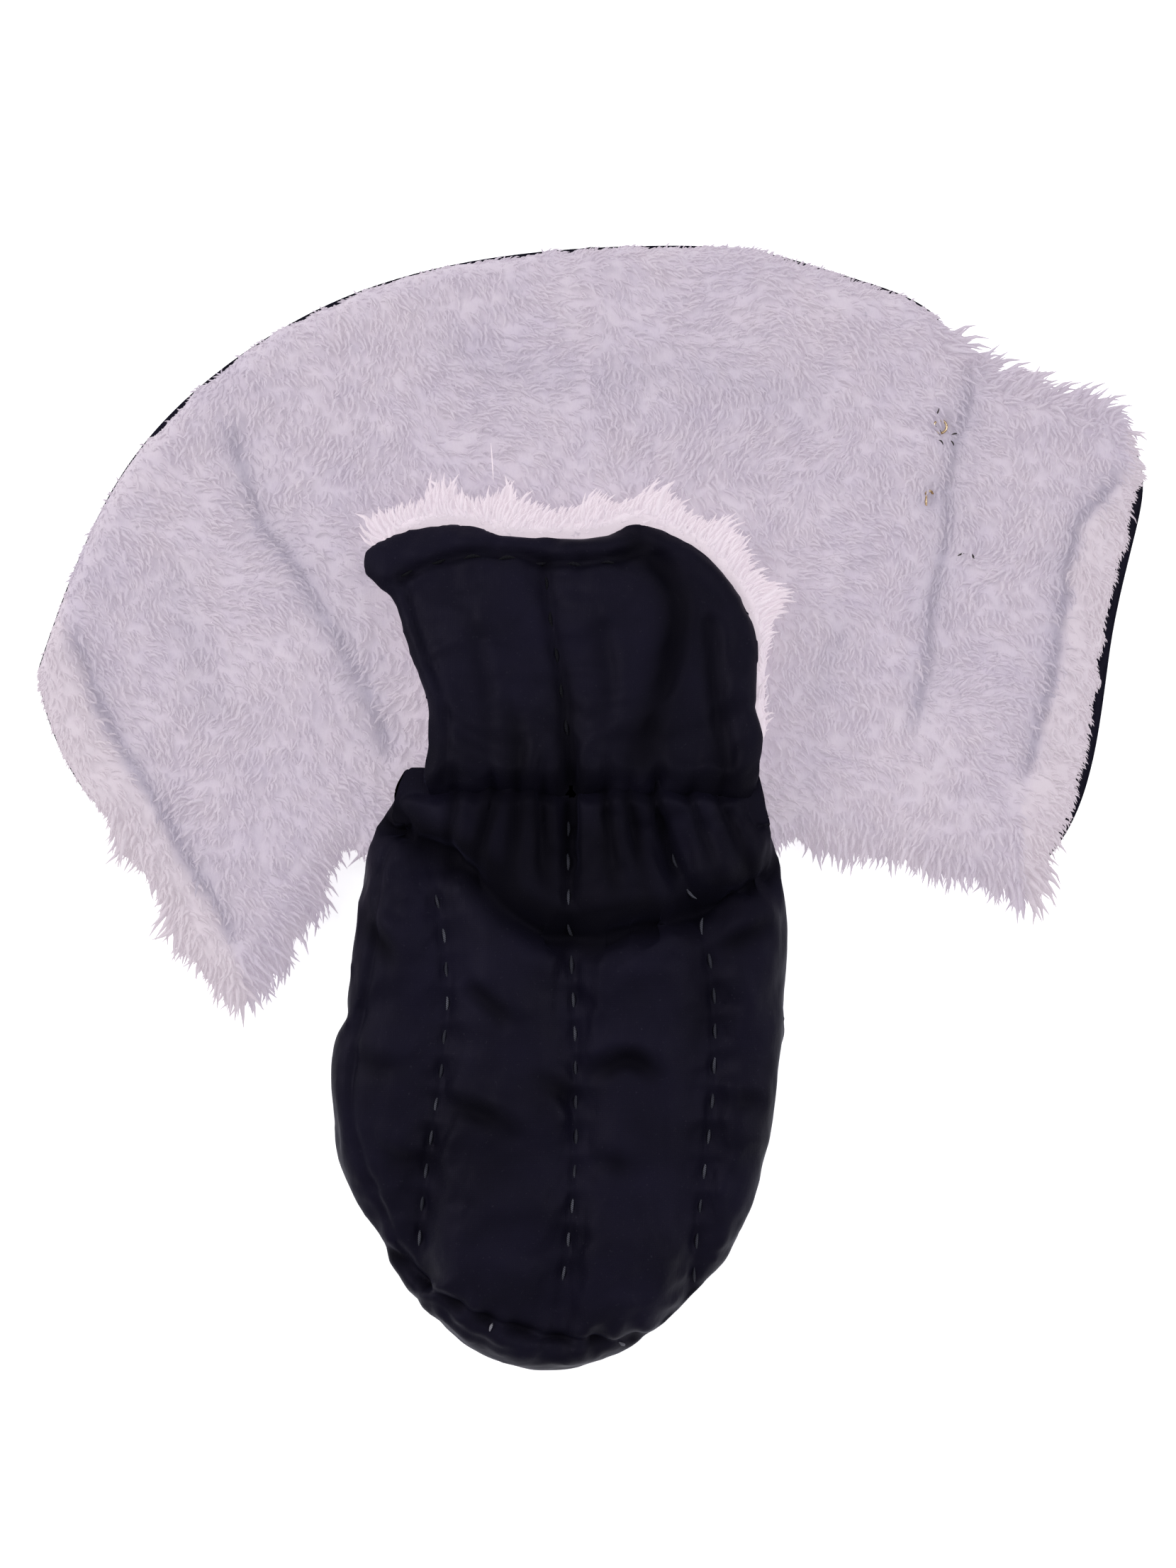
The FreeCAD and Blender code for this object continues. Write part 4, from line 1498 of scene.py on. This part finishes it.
for piece, seed in ((left_fleece, 61), (right_fleece, 71)):
    flat = lay_nap(piece, outer_edges, -1.2, 7 * MM, seed, spiky=SPIKY)
    parted = parting(flat)
    change_attribute(piece, "thick", attribute_of(piece, "thick") * (1 - parted))
    # painted shade in the creases and round the partings, and an even painted shade over the mat under the
    # locks
    put_attribute(piece, "ground", np.clip(crease_depth(flat) / 4.5 + 0.6 * parted, 0, 1))
    put_even(piece, depth=0.7)
    put_attribute(piece, "turned", turned_edge_highlight(flat))
    piece.data.materials.append(pile_finish)
BROW_SPIKY = [(-74, 94, 9), (-50, 104, 6), (-28, 102, 7), (23, 103, 8), (47, 89, 8), (60, 70, 9), (0, 101, 5)]
flat = lay_nap(brow_fleece, segments_of([brow_fleece_loop]), 1.2, 8 * MM, 81, 0.1, BROW_SPIKY, 0.8)
cloth_gap = segment_distance(flat, segments_of([brow_loop]))[0]
outside_cloth = np.where(inside(flat, brow_loop), -cloth_gap, cloth_gap)
facing_up = normals_of(brow_fleece)[:, 2]
thick = soft(0, 6 * MM, outside_cloth) * soft(-0.3, 0.3, facing_up) + 0.6 * soft(-0.3, -0.7, facing_up)
change_attribute(brow_fleece, "thick", thick)
put_even(brow_fleece, ground=0, turned=0, depth=0.5)
# painted light: the brow fleece gets the paler, brighter-glowing copy of the fleece
brow_fleece.data.materials.append(lit_fleece_finish)

LOCK_DENSITY = 350_000.0  # to the square metre, where the pile is thickest
EDGE_DENSITY = 600_000.0
TUFT_DENSITY = 260_000.0
LOCKS = {"Length": 4.3 * MM, "Width": 0.8 * MM, "Curl": 1.2 * MM, "Stray": 0.5, "Taper": 1.6}
left_locks = pile_locks.grow("left_locks", left_fleece.data, Density=LOCK_DENSITY, Seed=4,
                             Material=pile_finish, **LOCKS)
right_locks = pile_locks.grow("right_locks", right_fleece.data, Density=LOCK_DENSITY, Seed=9,
                              Material=pile_finish, **LOCKS)

# %% [markdown]
# At some stretches of the edge the pile stands out in long pointed tufts. They come from the same tree, with
# a wider root, a straighter taper, and points only where the mat says that the edge bristles.

# %% Tufts along the edges
TUFTS = {"Width": 1.2 * MM, "Curl": 2.0 * MM, "Stray": 0.6, "Taper": 0.9}


def tufted(name, source, seed, material, density, length):
    """Swaps the mat's lock thickness for its bristles, grows the tufts, and leaves the mat as it was."""
    usual = attribute_of(source, "thick")
    change_attribute(source, "thick", attribute_of(source, "bristle"))
    made = pile_locks.grow(name, source.data, Density=density, Seed=seed, Material=material, Length=length,
                           **TUFTS)
    change_attribute(source, "thick", usual)
    return made


left_tufts = tufted("left_tufts", left_fleece, 11, pile_finish, TUFT_DENSITY, 8 * MM)
right_tufts = tufted("right_tufts", right_fleece, 12, pile_finish, TUFT_DENSITY, 8 * MM)
brow_tufts = tufted("brow_tufts", brow_fleece, 13, lit_fleece_finish, 200_000.0, 7 * MM)
brow_locks = pile_locks.grow("brow_locks", brow_fleece.data, Density=EDGE_DENSITY, Seed=2,
                             Material=lit_fleece_finish, **{**LOCKS, "Length": 5 * MM})

# %% [markdown]
# ## Stitches
# Each running stitch is a short arch of thread that dives into the cloth at both ends. The frame says where
# the stitches are; a ray dropped on the finished cloth says how high. A second tree makes the arches.

# %% Stitches on the cloth
END_FULLNESS = 0.35  # how thick a thread still is where it dives into the cloth
STITCH_ARCH = 0.55 * MM
RAY_START = 0.2  # well above the whole hat


def stitch_tree():
    made = Growth("running_stitch", Length="Float", Thickness="Float", Arch="Float", Material="Material")
    given = made.given
    half = made.maths("MULTIPLY", given["Length"], 0.5)
    ends = [made.add("ShaderNodeCombineXYZ", {}, {"X": made.maths("MULTIPLY", half, side), "Y": 0.0,
                                                  "Z": made.maths("MULTIPLY", given["Arch"], -1.0)})
            for side in (-1.0, 1.0)]
    peak = made.add("ShaderNodeCombineXYZ", {}, {"X": 0.0, "Y": 0.0,
                                                 "Z": made.maths("MULTIPLY", given["Arch"], 1.6)})
    spine = made.add("GeometryNodeCurveQuadraticBezier", {}, {
        "Resolution": 7, "Start": ends[0], "Middle": peak, "End": ends[1]})
    run = made.add("GeometryNodeSplineParameter", {}, {}, "Factor")
    belly = made.maths("ADD", made.maths("SINE", made.maths("MULTIPLY", run, math.pi), 0.0), END_FULLNESS)
    ring = made.add("GeometryNodeCurvePrimitiveCircle", {}, {
        "Resolution": 6, "Radius": given["Thickness"]}, "Curve")
    arch = made.add("GeometryNodeCurveToMesh", {}, {
        "Curve": spine, "Profile Curve": ring, "Scale": belly, "Fill Caps": True})
    arch = made.add("GeometryNodeSetShadeSmooth", {}, {"Geometry": arch, "Shade Smooth": True})
    points = made.add("GeometryNodeMeshToPoints", {}, {"Mesh": given["Geometry"]})
    turned = made.add("FunctionNodeAlignRotationToVector", {"axis": "Z"}, {
        "Vector": made.named("up", "FLOAT_VECTOR")})
    turned = made.add("FunctionNodeAlignRotationToVector", {"axis": "X", "pivot_axis": "Z"}, {
        "Rotation": turned, "Vector": made.named("way", "FLOAT_VECTOR")})
    placed = made.add("GeometryNodeInstanceOnPoints", {}, {
        "Points": points, "Instance": arch, "Rotation": turned, "Scale": made.named("reach")})
    made.close(placed, given["Material"])
    return made


running_stitch = stitch_tree()


def sew(name, places, cloth, material, length=6.4 * MM, seed=0, thickness=0.42 * MM, lift=0.35 * MM):
    shape = bmesh.new()
    shape.from_mesh(cloth.data)
    surface = BVHTree.FromBMesh(shape)
    shape.free()
    spots, ways, ups = [], [], []
    for middle, way in places:
        hit, normal = surface.ray_cast(Vector((middle[0], middle[1], RAY_START)), Vector((0, 0, -1)))[:2]
        if hit is None:
            hit, normal = surface.find_nearest(Vector((middle[0], middle[1], CROWN_TOP / 2)))[:2]
        spots.append(np.array(hit) + np.array(normal) * lift)
        ups.append(normal)
        ways.append(way)
    seeds = bpy.data.meshes.new(name)
    seeds.from_pydata([tuple(s) for s in spots], [], [])
    carrier = bpy.data.objects.new(name + "_places", seeds)
    put_attribute(carrier, "way", np.array(ways))
    put_attribute(carrier, "up", np.array(ups))
    put_attribute(carrier, "reach", 1 + 0.16 * noise(np.array(spots), 7 * MM, seed))
    made = running_stitch.grow(name, seeds, Length=length, Thickness=thickness, Arch=STITCH_ARCH,
                               Material=material)
    bpy.data.objects.remove(carrier)
    return made


quilt_threads = {side: sew(f"quilt_stitches_{side}", quilting[side], crown_pouch, grey_thread, seed=90)
                 for side in quilting}
hem_threads = sew("hem_stitches", stitch_places("brow_hem_stitches"), brow_cloth, navy_thread, 5.5 * MM, 91)
centre_threads = sew("centre_stitches", stitch_places("brow_centre_stitches"), brow_cloth, navy_thread,
                     5.5 * MM, 92)

# %% [markdown]
# Two pale ends of thread stand loose on the bottom seam. The ring, the wire and the threads that hold them
# are right as the frame has them, so they keep their shape and get their finish.

# %% Loose threads and metal
loose_threads = sew("loose_seam_threads",
                    [(np.array([-34.5 * MM, -182 * MM]), np.array([0.25, 0.95, 0])),
                     (np.array([11 * MM, -189.5 * MM]), np.array([0.8, -0.6, 0]))],
                    crown_pouch, pale_thread, 3.4 * MM, 93)
# painted shade: short dark arches stand for specks of shade, five round the ring where the pile parts and two
# lower down between tufts
shade_specks = sew("painted_shade_specks",
                [(np.array([x * MM, y * MM]), np.array([way_x, way_y, 0])) for x, y, way_x, way_y in [
                    (122.5, 138.5, 0.3, 0.95), (127.8, 127, 0.6, -0.8), (126, 122.5, 0.1, 1),
                    (128.6, 130, 0.9, 0.3),
                    (123.6, 126.5, 0.5, -0.85), (131, 87.5, 0.9, 0.4), (135, 86.5, 0.4, -0.9)]],
                right_fleece, dark_thread, 2.6 * MM, 94, 0.24 * MM, 1.3 * MM)
long_hair = sew("long_hair", [(np.array([-35 * MM, 120 * MM]), np.array([-0.06, 1, 0]))],
                left_fleece, lit_fleece_finish, 14 * MM, 95, 0.2 * MM, 3 * MM)


def refinish(node, material):
    piece = frame["nodes"][node]
    for place in piece.material_slots:
        place.link = "OBJECT"
        place.material = material
    if not piece.material_slots:
        piece.data.materials.append(material)


refinish("hook_ring", brass_wire)
refinish("hook_wire", brass_wire)
refinish("hook_threads", dark_thread)
print("stitches and metal done")

# %% [markdown]
# ## Floor, light and camera
# The hat lies on a plain white table. Two soft lights stand at its left and right, low enough to bring out
# the relief, and a weak one overhead fills the shadows. The camera looks straight down.

# %% Stage
FLOOR_REACH = 3.0
FLOOR_LEVEL = -0.2 * MM
FILM_WIDTH = 36
HAT_MIDDLE = (-0.9 * MM, 6.25 * MM)


def plain_floor():
    made = Finish("white_table")
    grain = made.clouds(made.where(), 6.0, 3.0)
    made.surface(Base_Color=made.mix(grain, (0.90, 0.90, 0.91, 1), (0.93, 0.93, 0.935, 1)),
                 Roughness=made.between(grain, 0.3, 0.7, 0.75, 0.85),
                 Emission_Color=(1, 1, 1, 1), Emission_Strength=0.55)
    reach = FLOOR_REACH
    piece = new_piece("table_top", [(-reach, -reach, FLOOR_LEVEL), (reach, -reach, FLOOR_LEVEL),
                                    (reach, reach, FLOOR_LEVEL), (-reach, reach, FLOOR_LEVEL)], [(0, 1, 2, 3)],
                      outward=False)
    piece.data.materials.append(made.material)
    return piece


def soft_light(name, size, power, place, colour=(1, 1, 1)):
    data = bpy.data.lights.new(name, "AREA")
    data.shape = "SQUARE"
    data.size = size
    data.energy = power
    data.color = colour
    light = bpy.data.objects.new(name, data)
    light.location = place
    light.rotation_euler = (Vector((0, 0, 0)) - Vector(place)).to_track_quat("-Z", "Y").to_euler()
    bpy.context.scene.collection.objects.link(light)
    return light


plain_floor()
soft_light("left_light", 1.0, 17, (-1.4, 0.6, 1.2), (1.0, 0.985, 0.97))
soft_light("right_light", 1.0, 10, (1.5, 0.1, 1.2), (0.97, 0.98, 1.0))
soft_light("fill_light", 2.2, 8, (0.2, 0.6, 1.9), (0.95, 0.97, 1.0))
world = bpy.data.worlds.new("studio")
world.use_nodes = True
world.node_tree.nodes["Background"].inputs["Color"].default_value = (0.96, 0.97, 1.0, 1)
world.node_tree.nodes["Background"].inputs["Strength"].default_value = 0.60
bpy.context.scene.world = world
bpy.context.scene.view_settings.view_transform = "Standard"

VIEW_HEIGHT = 1.2
VIEW_TALL = 0.553  # how much of the table the frame's long side takes in
lens = bpy.data.cameras.new("camera")
lens.lens = FILM_WIDTH * VIEW_HEIGHT / VIEW_TALL
camera = bpy.data.objects.new("camera", lens)
camera.location = (*HAT_MIDDLE, VIEW_HEIGHT + PANEL_TOP)
bpy.context.scene.collection.objects.link(camera)
bpy.context.scene.camera = camera
print("camera is", VIEW_HEIGHT, "m above the fleece")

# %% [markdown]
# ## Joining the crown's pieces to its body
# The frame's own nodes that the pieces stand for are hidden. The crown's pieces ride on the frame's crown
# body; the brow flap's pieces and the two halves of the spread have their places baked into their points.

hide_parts("crown_back_shell", "crown_side_shell", "crown_front_shell",
            "crown_back_wadding", "crown_side_wadding", "crown_front_wadding", "rim_casing")
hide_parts("crown_back_lining", "crown_side_lining", "crown_front_lining")
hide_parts("rim_elastic")
for piece, slot in ((crown_pouch, "navy_nylon"), (crown_lining, "lining"), (elastic_band_piece, "elastic")):
    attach(piece, "crown")
for side, piece in quilt_threads.items():
    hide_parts(f"quilting_{side}")
    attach(piece, "crown")
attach(loose_threads, "crown")
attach(long_hair, "crown")

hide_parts("brow_shell", "brow_wadding")
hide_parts("brow_fleece")
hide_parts("brow_hem_stitches")
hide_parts("brow_centre_stitches")
for piece, slot in ((brow_cloth, "navy_nylon"), (brow_fleece, "fleece"), (brow_locks, "fleece"),
                    (brow_tufts, "fleece"),
                    (hem_threads, "thread"), (centre_threads, "thread")):
    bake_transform(piece)

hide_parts("left_ear_shell", "left_ear_wadding", "neck_shell")
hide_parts("right_ear_shell", "right_ear_wadding", "neck_wadding")
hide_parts("left_ear_fleece", "left_ear_facing", "neck_fleece")
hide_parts("right_ear_fleece", "right_ear_facing")


for shell in (left_shell, right_shell):
    size = np.ptp(places_of(shell), axis=0)
for piece in (left_shell, left_fleece, left_locks, left_tufts):
    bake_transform(piece)
for piece in (right_shell, right_fleece, right_locks, right_tufts, shade_specks):
    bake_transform(piece)
